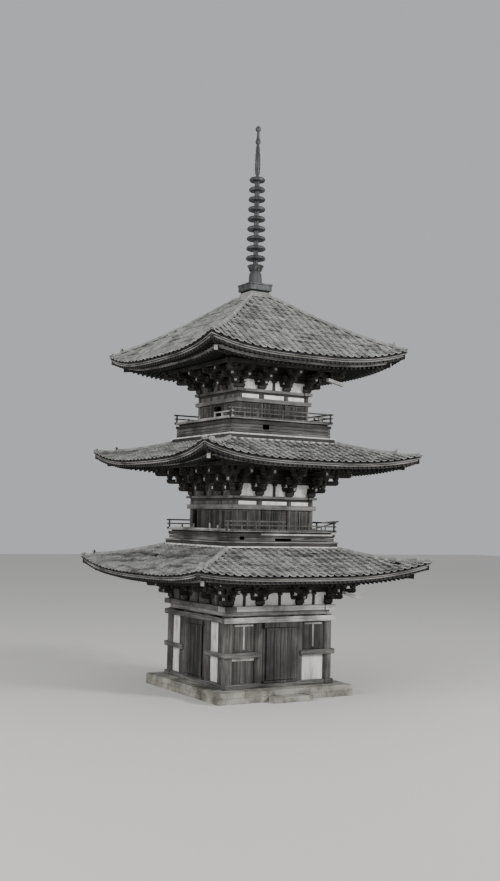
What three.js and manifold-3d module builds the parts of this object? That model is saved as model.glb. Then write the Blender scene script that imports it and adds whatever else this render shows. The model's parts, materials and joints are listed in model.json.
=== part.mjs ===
// A three-storey timber pagoda with tiled roofs and a bronze spire, standing on a low stone podium.
// Millimetres, +Z up, origin on the ground under the centre; the front faces -Y.
import * as THREE from "three";
import { mergeVertices } from "three/addons/utils/BufferGeometryUtils.js";
import Module from "manifold-3d";

const wasm = await Module();
wasm.setup();

// Driving dimensions.
const GAP = 0.3; // daylight between neighbouring pieces
const podium = { half: 2480, top: 350 };
const step = { half: 700, tread: 360, top: 175 };
const sill = { width: 230, top: 500 };
const floorTop = 470;
const ceiling = { low: 2600, top: 2650, hatch: 350 };

// The ground storey: round pillars with wall bays between them, boarded panels at the front and the back.
const storey1 = { line: 1845, doorPillars: 740, cornerRadius: 160, doorRadius: 150, wall: 70, top: 2560 };
const panel = { edge: 60, low: 1480, high: 2310, bar: 60, depth: 120 };
const waistBeam = { bottom: 1300, top: 1460, proud: 45 };
const headRail = { bottom: 2360, top: 2530, proud: 50 };
const door = { half: 520, bottom: 580, top: 2180, thick: 45, clear: 5, lap: 20, face: 1975, pin: 16, strip: 35 };
const doorFrame = { thresholdTop: 560, headBottom: 2200, front: 2060, heelRoom: 12, back: 60, bite: 40 };

// Each upper storey: its pillar line, its post sizes and the levels of its beams.
const upperStoreys = {
  2: { line: 1410, doorPillars: 570, radius: 100, base: 4910, railLow: 5870, railTop: 6020, plateLow: 6140 },
  3: { line: 1270, doorPillars: 475, radius: 95, base: 8370, railLow: 9300, railTop: 9430, plateLow: 9570 },
};
const upperWall = { thick: 70, door: 25, rail: 55 };

// Each bracket ring: the plate it stands on, how far it steps out and how high it reaches.
const brackets = {
  1: { line: 1845, doorPillars: 740, tie: 2560, plateLow: 2710, plateTop: 2870, plate: 190, reach: 600, steps: 2 },
  2: { line: 1410, doorPillars: 570, tie: 6140, plateLow: 6220, plateTop: 6300, plate: 150, reach: 900, steps: 3 },
  3: { line: 1270, doorPillars: 475, tie: 9570, plateLow: 9640, plateTop: 9730, plate: 140, reach: 840, steps: 3 },
};
const ring = { tie: 60, wallIn: 50, wallOut: 40, plateEnd: 50, purlinEnd: 60, bite: 5 };
const arm = { width: 105, corner: 126, height: 110, root: 60, cut: 60 };
const purlin = { width: 120, height: 140 };

// Each roof: the eave's half width, its lower edge at mid side, where the tiles stop inside and their rise.
// Old timber has moved, so each corner lifts by its own amount, front left first and then round by the right,
// and each side may sag a little, front first.
const roofs = {
  1: { half: 4240, eave: 3850, inner: 1550, rise: 895, wall: 1905, boardDrop: 195, sag: [0, 0, 0, 80],
    corners: [[190, 4], [440, 2.7], [300, 3.3], [310, 3.2]] },
  2: { half: 4000, eave: 7320, inner: 1400, rise: 870, wall: 1470, boardDrop: 150, sag: [0, 0, 0, 0],
    corners: [[470, 3.3], [345, 2.8], [430, 3.3], [430, 3.3]] },
  3: { half: 3650, eave: 10600, inner: 400, rise: 2319, wall: 1330, boardDrop: 195, sag: [0, 0, 0, 0],
    corners: [[390, 3.2], [460, 2.7], [430, 3.2], [410, 3.2]] },
};
const roofThick = 60;
const liftFade = 3.2; // how fast a corner's lift dies away up the slope
const sideLines = [0, 0.5, 0.72, 0.88, 1]; // half of one eave, from its middle to its corner
const slopeLines = [0, 0.08, 0.25, 0.5, 1]; // one slope, from its eave to its top
// The eaves, from the tile edge inwards: a thin board, the fly rafters, a second board and the base rafters.
const eaves = { edge: 50, edgeDrop: 90, fly: 110, flyDrop: 160, flyRise: 34, board: 450, tip: 500, tipDrop: 70,
  slope: 0.22, thick: 100, boardTop: 20, twistRoom: 22 };
const hip = { width: 190, height: 150, endHeight: 80, end: 110, crown: 0.7 };
const collar = { half: 380, top: 13200, bite: 60 };
const kerb = { 1: { half: 2110, thick: 110, height: 200 }, 2: { half: 2010, thick: 90, height: 150 } };

const balconies = {
  2: { under: 1, half: 2050, floorLow: 5120, floorTop: 5200, frameInner: 1290, frameOuter: 1840, inner: 1560 },
  3: { under: 2, half: 1930, floorLow: 8650, floorTop: 8735, frameInner: 1150, frameOuter: 1740, inner: 1415 },
};
const balconyBeams = { armDrop: 150, armHalf: 50, edgeIn: 90, edgeHalf: 45, edgeEnd: 60, edgeRise: 60,
  boardsIn: 60, boards: 70, armBite: 40 };
const railing = {
  inset: 60, bar: 55, post: 50, middle: 150, middleBar: 40, top: 270, topBar: 50, spread: 90, topPast: 20,
  bays: 4,
  stumps: [[0.68, 170], [0.42, 230], [-0.12, 200], [-0.55, 140]],
  sprung: { from: 760, rise: 160, past: 60 },
};

const spire = { boxHalf: 415, lidHalf: 435, lid: 60, boxTop: 13440, ringLow: 14360, ringPitch: 338, rings: 9,
  shaft: 58, ringWide: 340, ringNarrow: 270, top: 18950 };

// Materials, as the weathered building shows them.
const material = (color, roughness, metalness = 0) =>
  new THREE.MeshStandardMaterial({ color, roughness, metalness });
const stone = material(0x8d8a83, 0.9);
const timber = material(0x6a635a, 0.85);
const darkTimber = material(0x4a4641, 0.85);
const plaster = material(0xc9c5bb, 0.9);
const tile = material(0x84847f, 0.75);
const bronze = material(0x4c5350, 0.55, 0.8);

// Turns a closed geometry into a solid that can be joined and cut.
function solidOf(geometry) {
  const bare = geometry.index ? geometry.toNonIndexed() : geometry.clone();
  for (const name of Object.keys(bare.attributes)) {
    if (name !== "position") bare.deleteAttribute(name);
  }
  const merged = mergeVertices(bare, 1e-3);
  return new wasm.Manifold(
    new wasm.Mesh({
      numProp: 3,
      vertProperties: merged.attributes.position.array,
      triVerts: new Uint32Array(merged.index.array),
    }),
  );
}

function geometryOf(solid) {
  const mesh = solid.getMesh();
  const position = new Float32Array(mesh.numVert * 3);
  for (let i = 0; i < mesh.numVert; i++) {
    const from = i * mesh.numProp;
    position.set(mesh.vertProperties.subarray(from, from + 3), i * 3);
  }
  return new THREE.BufferGeometry()
    .setAttribute("position", new THREE.BufferAttribute(position, 3))
    .setIndex(new THREE.BufferAttribute(mesh.triVerts, 1));
}

const join = (solids) => solids.reduce((whole, next) => whole.add(next));

// A block between two corners.
function block(x0, x1, y0, y1, z0, z1) {
  const geometry = new THREE.BoxGeometry(Math.abs(x1 - x0), Math.abs(y1 - y0), Math.abs(z1 - z0));
  geometry.translate((x0 + x1) / 2, (y0 + y1) / 2, (z0 + z1) / 2);
  return solidOf(geometry);
}

// An upright round post.
function post(x, y, radius, z0, z1, sides = 12) {
  const geometry = new THREE.CylinderGeometry(radius, radius, z1 - z0, sides);
  geometry.rotateX(Math.PI / 2);
  geometry.translate(x, y, (z0 + z1) / 2);
  return solidOf(geometry);
}

// The same solid turned about the upright axis by quarter turns: 0 front, 1 right, 2 back, 3 left.
const quarter = (solid, turns) => solid.rotate([0, 0, 90 * turns]);
const around = (solid) => join([0, 1, 2, 3].map((turns) => quarter(solid, turns)));
const turned = ([x, y], turns) => [[x, y], [-y, x], [-x, -y], [y, -x]][turns];

// A square ring of beams, between an inner and an outer half width, with ends that run past the corners.
function squareRing(inner, outer, z0, z1, past = 0) {
  const hole = block(-inner, inner, -inner, inner, z0 - 1, z1 + 1);
  const frame = block(-outer, outer, -outer, outer, z0, z1).subtract(hole);
  if (past === 0) return frame;
  const long = outer + past;
  const beams = [-1, 1].flatMap((side) => [
    block(-long, long, side * inner, side * outer, z0, z1),
    block(side * inner, side * outer, -long, long, z0, z1),
  ]);
  return join([frame, ...beams]);
}

const root = new THREE.Group();
function add(name, solid, finish) {
  const mesh = new THREE.Mesh(geometryOf(solid), finish);
  mesh.name = name;
  root.add(mesh);
}

// Stone podium and the step in front of the door, with the timber sill and the floor on it.
function makeBase() {
  add("stone_podium", block(-podium.half, podium.half, -podium.half, podium.half, 0, podium.top), stone);
  const stepFront = -podium.half - step.tread;
  add("front_step", block(-step.half, step.half, stepFront, -podium.half - GAP, 0, step.top), stone);
  const outer = storey1.line + sill.width / 2;
  const inner = storey1.line - sill.width / 2;
  add("ground_sill", squareRing(inner, outer, podium.top + GAP, sill.top), timber);
  const board = inner - GAP;
  add("ground_floor", block(-board, board, -board, board, podium.top + GAP, floorTop), timber);
}

// One corner of the ground storey: its round pillar with the two wall bays that meet it.
// It is drawn at the front left. The bay in the front or back wall has a boarded panel in a proud frame.
function cornerWalls(turns) {
  const { line, wall, top } = storey1;
  const bayEnd = storey1.doorPillars + storey1.doorRadius + GAP;
  const low = sill.top + GAP;
  // A piece of the front bay, or of the left bay when x and y are swapped.
  const piece = (swapped, from, to, depth, z0, z1) => {
    const across = [-line - depth / 2, -line + depth / 2];
    return swapped ? block(...across, from, to, z0, z1) : block(from, to, ...across, z0, z1);
  };
  const p = panel;
  const swapped = turns % 2 === 1;
  const near = -line + storey1.cornerRadius + p.edge;
  const far = -bayEnd - p.edge;
  const middle = (near + far) / 2;
  const frame = [
    piece(swapped, near, far, p.depth, p.low, p.low + p.bar),
    piece(swapped, near, far, p.depth, p.high - p.bar, p.high),
    piece(swapped, near, near + p.bar, p.depth, p.low, p.high),
    piece(swapped, middle - p.bar / 2, middle + p.bar / 2, p.depth, p.low, p.high),
    piece(swapped, far - p.bar, far, p.depth, p.low, p.high),
  ];
  const bays = [false, true].map((side) => piece(side, -line, -bayEnd, wall, low, top));
  const pillar = post(-line, -line, storey1.cornerRadius, low, top);
  return quarter(join([pillar, ...bays, ...frame]), turns);
}

// The portal of a door bay: two round pillars, the jambs, and the threshold and head that hold the pivots.
function doorPortal(turns) {
  const { line, top, doorPillars: x, doorRadius: r } = storey1;
  const f = doorFrame;
  const low = sill.top + GAP;
  const jambOuter = x - r + f.bite;
  const jambInner = door.half - door.lap;
  const back = -line + f.back;
  const pieces = [
    block(-jambOuter, jambOuter, -f.front, back, low, f.thresholdTop),
    block(-jambOuter, jambOuter, -f.front, back, f.headBottom, headRail.bottom - GAP),
    block(-x, x, -line - f.bite, -line + f.bite, headRail.bottom - 2 * GAP, top),
  ];
  for (const side of [-1, 1]) {
    pieces.push(post(side * x, -line, r, low, top));
    pieces.push(block(side * jambInner, side * jambOuter, -door.face + f.heelRoom, back, low, top));
  }
  return quarter(join(pieces), turns);
}

// One leaf of a door, drawn at the front: side -1 is the left leaf and 1 the right one.
function doorLeaf(side) {
  const front = -door.face - door.thick;
  const leaf = block(side * door.half, side * door.clear, front, -door.face, door.bottom, door.top);
  const x = side * (door.half - door.pin);
  const y = -door.face - door.thick / 2;
  const low = post(x, y, door.pin, doorFrame.thresholdTop + GAP, door.bottom + door.pin, 8);
  const high = post(x, y, door.pin, door.top - door.pin, doorFrame.headBottom - GAP, 8);
  return join([leaf, low, high]);
}

// A pair of leaves that stays shut, joined by the cover strip over their meeting edges.
function shutDoors() {
  const front = -door.face - door.thick;
  const strip = block(-door.strip, door.strip, front - 20, front + 30, door.bottom, door.top);
  return join([doorLeaf(-1), doorLeaf(1), strip]);
}

function makeGroundStorey() {
  const corners = ["front_left", "front_right", "back_right", "back_left"];
  const sides = ["front", "right", "back", "left"];
  corners.forEach((name, turns) => add(`${name}_corner_walls`, cornerWalls(turns), plaster));
  sides.forEach((name, turns) => add(`${name}_door_frame`, doorPortal(turns), timber));
  const inner = storey1.line + storey1.cornerRadius + GAP;
  const waistOuter = inner + waistBeam.proud;
  const end = -storey1.doorPillars;
  const front = block(-waistOuter, end, -waistOuter, -inner, waistBeam.bottom, waistBeam.top);
  const side = block(-waistOuter, -inner, -waistOuter, end, waistBeam.bottom, waistBeam.top);
  corners.forEach((name, turns) => add(`${name}_waist_beam`, quarter(front.add(side), turns), timber));
  add("ground_head_rail", squareRing(inner, inner + headRail.proud, headRail.bottom, headRail.top), timber);
  add("front_left_door", doorLeaf(-1), darkTimber);
  add("front_right_door", doorLeaf(1), darkTimber);
  add("left_front_door", quarter(doorLeaf(1), 3), darkTimber);
  add("left_back_door", quarter(doorLeaf(-1), 3), darkTimber);
  add("back_doors", quarter(shutDoors(), 2), darkTimber);
  add("right_doors", quarter(shutDoors(), 1), darkTimber);
  const wide = storey1.line - ring.tie - GAP;
  const { low, top, hatch } = ceiling;
  const boards = block(-wide, wide, -wide, wide, low, top);
  const opening = block(-hatch, hatch, -hatch, hatch, low - 1, top + 1);
  add("ground_ceiling", boards.subtract(opening), timber);
}

// How far the slope has climbed between the eave (0) and the top (1) at a half width w.
const climbed = (roof, w) => (roof.half - w) / (roof.half - roof.inner);

// How far the roof is bent up towards a corner, or sags along a side, at side position u and slope position v.
// Side position runs from -1 to 1 along one side of the roof, and turns says which side.
function bendAt(roof, turns, u, v) {
  const [lift, power] = roof.corners[(turns + (u > 0 ? 1 : 0)) % 4];
  const left = 1 - Math.min(1, Math.max(0, v));
  return lift * Math.abs(u) ** power * left ** liftFade - roof.sag[turns] * (1 - u * u) * left ** 2;
}

// The underside of the tiles.
const undersideAt = (roof, turns, u, v) => roof.eave + roof.rise * v + bendAt(roof, turns, u, v);

// The same underside between two slope lines, as the faceted roof has it.
function facetedUnderside(roof, turns, u, w) {
  const v = Math.min(1, climbed(roof, w));
  let k = 1;
  while (k < slopeLines.length - 1 && slopeLines[k] < v) k++;
  const [a, b] = [slopeLines[k - 1], slopeLines[k]];
  const share = (v - a) / (b - a);
  return undersideAt(roof, turns, u, a) * (1 - share) + undersideAt(roof, turns, u, b) * share;
}

// The height at which something rests on the tiles at half width w: at one corner, or clear of all four.
const seatAtCorner = (roof, corner, w) => facetedUnderside(roof, corner, -1, w) + roofThick + GAP;
const seatOn = (roof, w) => Math.max(...[0, 1, 2, 3].map((corner) => seatAtCorner(roof, corner, w)));

// The underside of the base rafters at half width w, at the middle of the side that sags most.
function soffitUnder(roof, w) {
  const tip = roof.half - eaves.tip;
  const low = roof.eave - roof.boardDrop - eaves.tipDrop;
  const wallLow = low + (tip - roof.wall) * eaves.slope;
  const sag = Math.min(...[0, 1, 2, 3].map((turns) => bendAt(roof, turns, 0, climbed(roof, tip))));
  return wallLow + ((low + sag - wallLow) * (w - roof.wall)) / (tip - roof.wall);
}

// A flat outline in the plane of an outward arm, given a thickness across it. x runs outwards and y upwards.
function outlineSolid(points, thickness) {
  const shape = new THREE.Shape(points.map(([x, y]) => new THREE.Vector2(x, y)));
  const geometry = new THREE.ExtrudeGeometry(shape, { depth: thickness, bevelEnabled: false });
  geometry.translate(0, 0, -thickness / 2);
  geometry.rotateX(Math.PI / 2);
  return solidOf(geometry);
}

// A stepped bracket that grows outwards from the wall line towards +X, one arm's length at each step.
function steppedBracket(b, base, top, stretch, thickness) {
  const stepUp = (top - base - arm.height) / b.steps;
  const points = [[-arm.root, base]];
  for (let k = 0; k < b.steps; k++) {
    const out = (stretch * (k + 0.5) * b.reach) / b.steps;
    points.push([out, base + k * stepUp], [out + arm.cut, base + (k + 1) * stepUp]);
  }
  const end = stretch * b.reach + arm.height / 2;
  const high = top + ring.bite;
  points.push([end, base + b.steps * stepUp], [end, high], [-arm.root, high]);
  return outlineSolid(points, thickness);
}

// The bracket ring of a storey: head tie, wall plate, stepped brackets at pillars and corners, and the purlin.
function bracketRing(level) {
  const b = brackets[level];
  const far = b.line + b.reach;
  const base = b.plateTop - ring.bite;
  const half = purlin.width / 2;
  const top = soffitUnder(roofs[level], far + half) - GAP - purlin.height;
  const straight = steppedBracket(b, base, top, 1, arm.width).rotate([0, 0, -90]);
  const side = [-b.doorPillars, b.doorPillars].map((x) => straight.translate([x, -b.line, 0]));
  const corner = steppedBracket(b, base, top, Math.SQRT2, arm.corner);
  side.push(corner.rotate([0, 0, -135]).translate([-b.line, -b.line, 0]));
  return join([
    squareRing(b.line - ring.tie, b.line + ring.tie, b.tie + GAP, b.plateLow),
    squareRing(b.line - b.plate, b.line + b.plate, b.plateLow, b.plateTop, ring.plateEnd),
    squareRing(b.line - ring.wallIn, b.line + ring.wallOut, base, top + arm.cut),
    around(join(side)),
    squareRing(far - half, far + half, top, top + purlin.height, ring.purlinEnd),
  ]);
}

// A closed ring swept round the square plan. profile(turns, u) lists one section's points [half width, height],
// anticlockwise when it is seen with the outside of the building to the right.
function sweptRing(profile) {
  const us = [...sideLines.slice(1).reverse().map((u) => -u), ...sideLines];
  const sections = [];
  for (let turns = 0; turns < 4; turns++) {
    const c = Math.cos((turns * Math.PI) / 2);
    const s = Math.sin((turns * Math.PI) / 2);
    for (const u of us.slice(0, -1)) {
      sections.push(profile(turns, u).map(([w, z]) => [u * w * c + w * s, u * w * s - w * c, z]));
    }
  }
  const position = [];
  const n = sections.length;
  const m = sections[0].length;
  for (let i = 0; i < n; i++) {
    const a = sections[i];
    const b = sections[(i + 1) % n];
    for (let j = 0; j < m; j++) {
      const k = (j + 1) % m;
      position.push(...a[j], ...b[j], ...b[k], ...a[j], ...b[k], ...a[k]);
    }
  }
  const geometry = new THREE.BufferGeometry();
  geometry.setAttribute("position", new THREE.Float32BufferAttribute(position, 3));
  return solidOf(geometry);
}

// The tiled shell of a roof.
function roofShell(level) {
  const roof = roofs[level];
  const widths = slopeLines.map((v) => roof.half + (roof.inner - roof.half) * v);
  const shell = sweptRing((turns, u) => {
    const under = widths.map((w, i) => [w, undersideAt(roof, turns, u, slopeLines[i])]);
    const over = under.map(([w, z]) => [w, z + roofThick]);
    return [...over, ...under.reverse()];
  });
  if (level < 3) return shell;
  const top = roof.eave + roof.rise;
  const wide = roof.inner + ring.bite;
  return shell.add(block(-wide, wide, -wide, wide, top, top + roofThick - ring.bite));
}

// The two tiers of rafters and boards under a roof, as one stepped soffit.
function eaveSoffit(level) {
  const roof = roofs[level];
  const e = eaves;
  const edge = roof.half - e.edge;
  const fly = roof.half - e.fly;
  const board = roof.half - e.board;
  const tip = roof.half - e.tip;
  const low = roof.eave - roof.boardDrop - e.tipDrop;
  const wallLow = low + (tip - roof.wall) * e.slope;
  return sweptRing((turns, u) => {
    const bend = (w) => bendAt(roof, turns, u, climbed(roof, w));
    const point = (w, drop) => [w, roof.eave - drop + bend(w)];
    return [
      [edge, facetedUnderside(roof, turns, u, edge) - GAP - e.twistRoom * Math.abs(u)],
      point(board, e.boardTop),
      [roof.wall, wallLow + e.thick],
      [roof.wall, wallLow],
      point(tip, roof.boardDrop + e.tipDrop),
      point(tip, roof.boardDrop),
      point(board, roof.boardDrop),
      point(board, e.flyDrop - e.flyRise),
      point(fly, e.flyDrop),
      point(fly, e.edgeDrop),
      point(edge, e.edgeDrop),
    ];
  });
}

// One hip ridge over a corner, from near the eave up to a half width at its top end, drawn at the front left.
function hipRidge(roof, cornerIndex, stop) {
  const start = roof.half - hip.end;
  const between = slopeLines.map((v) => roof.half + (roof.inner - roof.half) * v);
  const widths = [start, ...between.filter((w) => w < start && w > stop), stop];
  const foot = hip.width / 2 / Math.SQRT2;
  const crown = foot * hip.crown;
  const rows = widths.map((w) => {
    const z = seatAtCorner(roof, cornerIndex, w);
    const share = (start - w) / (start - stop);
    const high = z + hip.endHeight + (hip.height - hip.endHeight) * share;
    return [
      [-w + foot, -w - foot, z],
      [-w + crown, -w - crown, high],
      [-w - crown, -w + crown, high],
      [-w - foot, -w + foot, z],
    ];
  });
  return quarter(loft(rows), cornerIndex);
}

const allHips = (roof, stop) => join([0, 1, 2, 3].map((corner) => hipRidge(roof, corner, stop)));

// A closed solid through a row of like outlines.
function loft(rows) {
  const position = [];
  const n = rows[0].length;
  for (let i = 0; i < rows.length - 1; i++) {
    for (let j = 0; j < n; j++) {
      const k = (j + 1) % n;
      position.push(...rows[i][k], ...rows[i][j], ...rows[i + 1][j]);
      position.push(...rows[i][k], ...rows[i + 1][j], ...rows[i + 1][k]);
    }
  }
  const [first, last] = [rows[0], rows[rows.length - 1]];
  for (let j = 1; j < n - 1; j++) {
    position.push(...first[0], ...first[j], ...first[j + 1]);
    position.push(...last[0], ...last[j + 1], ...last[j]);
  }
  const geometry = new THREE.BufferGeometry();
  geometry.setAttribute("position", new THREE.Float32BufferAttribute(position, 3));
  return solidOf(geometry);
}

// The hips are joined by the kerb at the foot of the storey above, or by the collar at the top roof's peak.
function makeRoof(level) {
  const roof = roofs[level];
  add(`roof_${level}_tiles`, roofShell(level), tile);
  add(`roof_${level}_eaves`, eaveSoffit(level), timber);
  if (level === 3) {
    const low = roof.eave + roof.rise + roofThick + GAP;
    const { half, top } = collar;
    const peak = block(-half, half, -half, half, low, top);
    add("roof_3_hips", allHips(roof, half - collar.bite).add(peak), tile);
    return;
  }
  const k = kerb[level];
  const inner = k.half - k.thick;
  const low = seatOn(roof, inner);
  const ledge = squareRing(inner, k.half, low, low + k.height);
  add(`roof_${level}_hips_and_kerb`, allHips(roof, inner).add(ledge), tile);
}

// The plan of one side of an upper storey's wall, from its front left corner to before the next one: round
// pillars stand proud of the boards, and the shut doors stand a little proud between the two middle pillars.
function wallPlan(s) {
  const face = -s.line - upperWall.thick / 2;
  const proud = face - upperWall.door;
  const bulge = (x, from, to, steps) => {
    const points = [];
    for (let i = 0; i <= steps; i++) {
      const angle = ((from + ((to - from) * i) / steps) * Math.PI) / 180;
      points.push([x + s.radius * Math.cos(angle), -s.line + s.radius * Math.sin(angle)]);
    }
    return points;
  };
  const low = 180 + (Math.asin((s.line + face) / -s.radius) * 180) / Math.PI;
  const high = 540 - low;
  return [
    ...bulge(-s.line, 225, high, 3),
    ...bulge(-s.doorPillars, low, high, 4),
    [-s.doorPillars + s.radius + 1, proud],
    [s.doorPillars - s.radius - 1, proud],
    ...bulge(s.doorPillars, low, high, 4),
    ...bulge(s.line, low, 315, 3).slice(0, -1),
  ];
}

// The walls of an upper storey: round pillars with board walls between them, and shut doors on each side.
function upperWalls(level) {
  const s = upperStoreys[level];
  const plan = wallPlan(s);
  const inner = s.line - upperWall.thick / 2;
  const vector = ([x, y]) => new THREE.Vector2(x, y);
  const shape = new THREE.Shape([0, 1, 2, 3].flatMap((turns) => plan.map((at) => vector(turned(at, turns)))));
  shape.holes.push(new THREE.Path([0, 3, 2, 1].map((turns) => vector(turned([-inner, -inner], turns)))));
  const low = s.base + GAP;
  const geometry = new THREE.ExtrudeGeometry(shape, { depth: s.plateLow - low, bevelEnabled: false });
  geometry.translate(0, 0, low);
  return solidOf(geometry);
}

// The frame that carries a balcony: the sill of the storey above, its low wall, bracket arms and edge beam.
function balconyFrame(level) {
  const b = balconies[level];
  const m = balconyBeams;
  const roof = roofs[b.under];
  const s = upperStoreys[level];
  const low = roof.eave + roof.rise + roofThick + GAP;
  const armLow = b.floorLow - m.armDrop;
  const edge = b.half - m.edgeIn;
  const boards = b.frameOuter - m.boardsIn;
  const under = b.floorLow - GAP;
  const boardsLow = seatOn(roof, boards - m.boards);
  const long = edge + m.edgeEnd;
  const side = [
    block(-b.frameOuter, b.frameOuter, -b.frameOuter, -b.frameInner, low, s.base),
    block(-boards, boards, -boards, -boards + m.boards, boardsLow, under),
    block(-long, long, -edge - m.edgeHalf, -edge + m.edgeHalf, armLow + m.edgeRise, under),
  ];
  for (const x of [-s.doorPillars, s.doorPillars]) {
    side.push(block(x - m.armHalf, x + m.armHalf, -edge, -boards + m.armBite, armLow, under));
  }
  return around(join(side));
}

// One side of a railing, drawn along the front edge: rails whose ends run past the corners, and the posts.
// A broken side has only its bottom rail and stumps left. A sprung side's top rail has come loose at one end.
function railingSide(line, z, state) {
  const r = railing;
  const half = r.post / 2;
  const long = line + r.spread;
  const bar = (from, to, low, high) => block(from, to, -line - half, -line + half, z + low, z + high);
  const upright = (x, high) => bar(x - half, x + half, r.bar - ring.bite, high);
  const bottom = bar(-long, long, 0, r.bar);
  const stumps = r.stumps.map(([share, high]) => upright(share * line, high));
  if (state === "broken") return join([bottom, ...stumps]);
  const shares = Array.from({ length: r.bays + 1 }, (_, i) => (2 * i) / r.bays - 1);
  const posts = shares.map((share) => upright(share * line, r.top + ring.bite));
  const end = long + r.topPast;
  const top = state === "sprung" ? sprungRail(line, z, end) : bar(-end, end, r.top, r.top + r.topBar);
  return join([bottom, bar(-long, long, r.middle, r.middle + r.middleBar), top, ...posts]);
}

// A top rail that is whole on the left and slants up beyond its last firm post.
function sprungRail(line, z, end) {
  const { from, rise, past } = railing.sprung;
  const high = railing.topBar;
  const tip = end + past;
  const points = [[-end, 0], [from, 0], [tip, rise], [tip, rise + high], [from, high], [-end, high]];
  return outlineSolid(points, railing.post).translate([0, -line, z + railing.top]);
}

// The railing of a balcony. Its left side, as seen from the front, has lost its upper rails.
function balconyRailing(level) {
  const b = balconies[level];
  const line = b.half - railing.inset;
  const z = b.floorTop + GAP;
  const front = railingSide(line, z, level === 2 ? "sprung" : "whole");
  const whole = railingSide(line, z, "whole");
  const broken = railingSide(line, z, "broken");
  return join([front, quarter(whole, 1), quarter(whole, 2), quarter(broken, 3)]);
}

function makeUpperStorey(level) {
  const b = balconies[level];
  const s = upperStoreys[level];
  const railInner = s.line + s.radius + GAP;
  add(`storey_${level}_walls`, upperWalls(level), timber);
  const rail = squareRing(railInner, railInner + upperWall.rail, s.railLow, s.railTop);
  add(`storey_${level}_head_rail`, rail, timber);
  add(`balcony_${level}_frame`, balconyFrame(level), timber);
  add(`balcony_${level}_floor`, squareRing(b.inner, b.half, b.floorLow, b.floorTop), timber);
  add(`balcony_${level}_railing`, balconyRailing(level), timber);
}

// A turned piece of the spire from its outline of [radius, height] points, which runs up the outside.
function lathed(outline, sides) {
  const points = outline.map(([r, z]) => new THREE.Vector2(r, z));
  const geometry = new THREE.LatheGeometry(points, sides);
  geometry.rotateX(Math.PI / 2);
  return solidOf(geometry);
}

// One sheet of the flame ornament, standing on z.
function flameSheet(z, turn) {
  const shape = new THREE.Shape();
  shape.moveTo(-60, z);
  shape.lineTo(60, z);
  shape.quadraticCurveTo(190, z + 300, 120, z + 560);
  shape.quadraticCurveTo(150, z + 760, 40, z + 940);
  shape.lineTo(-40, z + 940);
  shape.quadraticCurveTo(-150, z + 760, -120, z + 560);
  shape.quadraticCurveTo(-190, z + 300, -60, z);
  const geometry = new THREE.ExtrudeGeometry(shape, { depth: 24, bevelEnabled: false, curveSegments: 4 });
  geometry.translate(0, 0, -12);
  geometry.rotateX(Math.PI / 2);
  geometry.rotateZ(turn);
  return solidOf(geometry);
}

// The dew basin box, the bowl with its lotus, the shaft with nine rings, and the flame with the ball and jewel.
function makeSpire() {
  const { boxHalf, lidHalf, lid, boxTop, shaft } = spire;
  const body = block(-boxHalf, boxHalf, -boxHalf, boxHalf, collar.top + GAP, boxTop - lid / 2);
  const cover = block(-lidHalf, lidHalf, -lidHalf, lidHalf, boxTop - lid, boxTop);
  add("spire_box", body.add(cover), bronze);

  const low = boxTop + GAP;
  const bowl = [[0, 0], [228, 0], [228, 50], [215, 330], [185, 430]];
  const lotus = [[170, 455], [215, 545], [285, 640], [265, 660], [110, 600], [0, 600]];
  add("spire_bowl", lathed([...bowl, ...lotus].map(([r, z]) => [r, low + z]), 16), bronze);

  const shaftLow = low + 600 + GAP;
  const lastRing = spire.ringLow + spire.ringPitch * (spire.rings - 1);
  const shaftTop = lastRing + 180;
  const outline = [[0, shaftLow], [shaft, shaftLow]];
  for (let i = 0; i < spire.rings; i++) {
    const z = spire.ringLow + i * spire.ringPitch;
    const r = spire.ringWide + ((spire.ringNarrow - spire.ringWide) * i) / (spire.rings - 1);
    outline.push([shaft, z - 30], [r, z - 60], [r * 0.75, z + 50], [shaft, z + 90]);
  }
  outline.push([shaft, shaftTop], [0, shaftTop]);
  add("spire_rings", lathed(outline, 12), bronze);

  const base = shaftTop + GAP;
  const sheets = [1, 3].map((k) => flameSheet(base, (k * Math.PI) / 4));
  const ball = base + 1130;
  const jewel = spire.top - 130;
  const stem = lathed([
    [0, base], [50, base], [50, base + 940], [42, ball - 100], [80, ball - 70], [100, ball], [80, ball + 70],
    [38, ball + 100], [38, jewel - 110], [78, jewel - 75], [102, jewel], [70, jewel + 70], [20, jewel + 105],
    [0, spire.top],
  ], 14);
  add("spire_flame_and_jewel", join([...sheets, stem]), bronze);
}

makeBase();
makeGroundStorey();
for (const level of [1, 2, 3]) {
  add(`storey_${level}_brackets`, bracketRing(level), timber);
  makeRoof(level);
}
makeUpperStorey(2);
makeUpperStorey(3);
makeSpire();

export default root;
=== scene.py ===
# %% [markdown]
# A weathered three-storey timber pagoda. Three pantiled roofs stand on bracket clusters over a square
# ground storey with plank doors, and a bronze spire of nine rings stands on the top roof. The packed
# solids fix every size, and this lesson dresses them: real tiles, rafters, brackets, boards and posts,
# and materials for grey weathered wood, lime plaster, fired tile, granite and old bronze.

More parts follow.
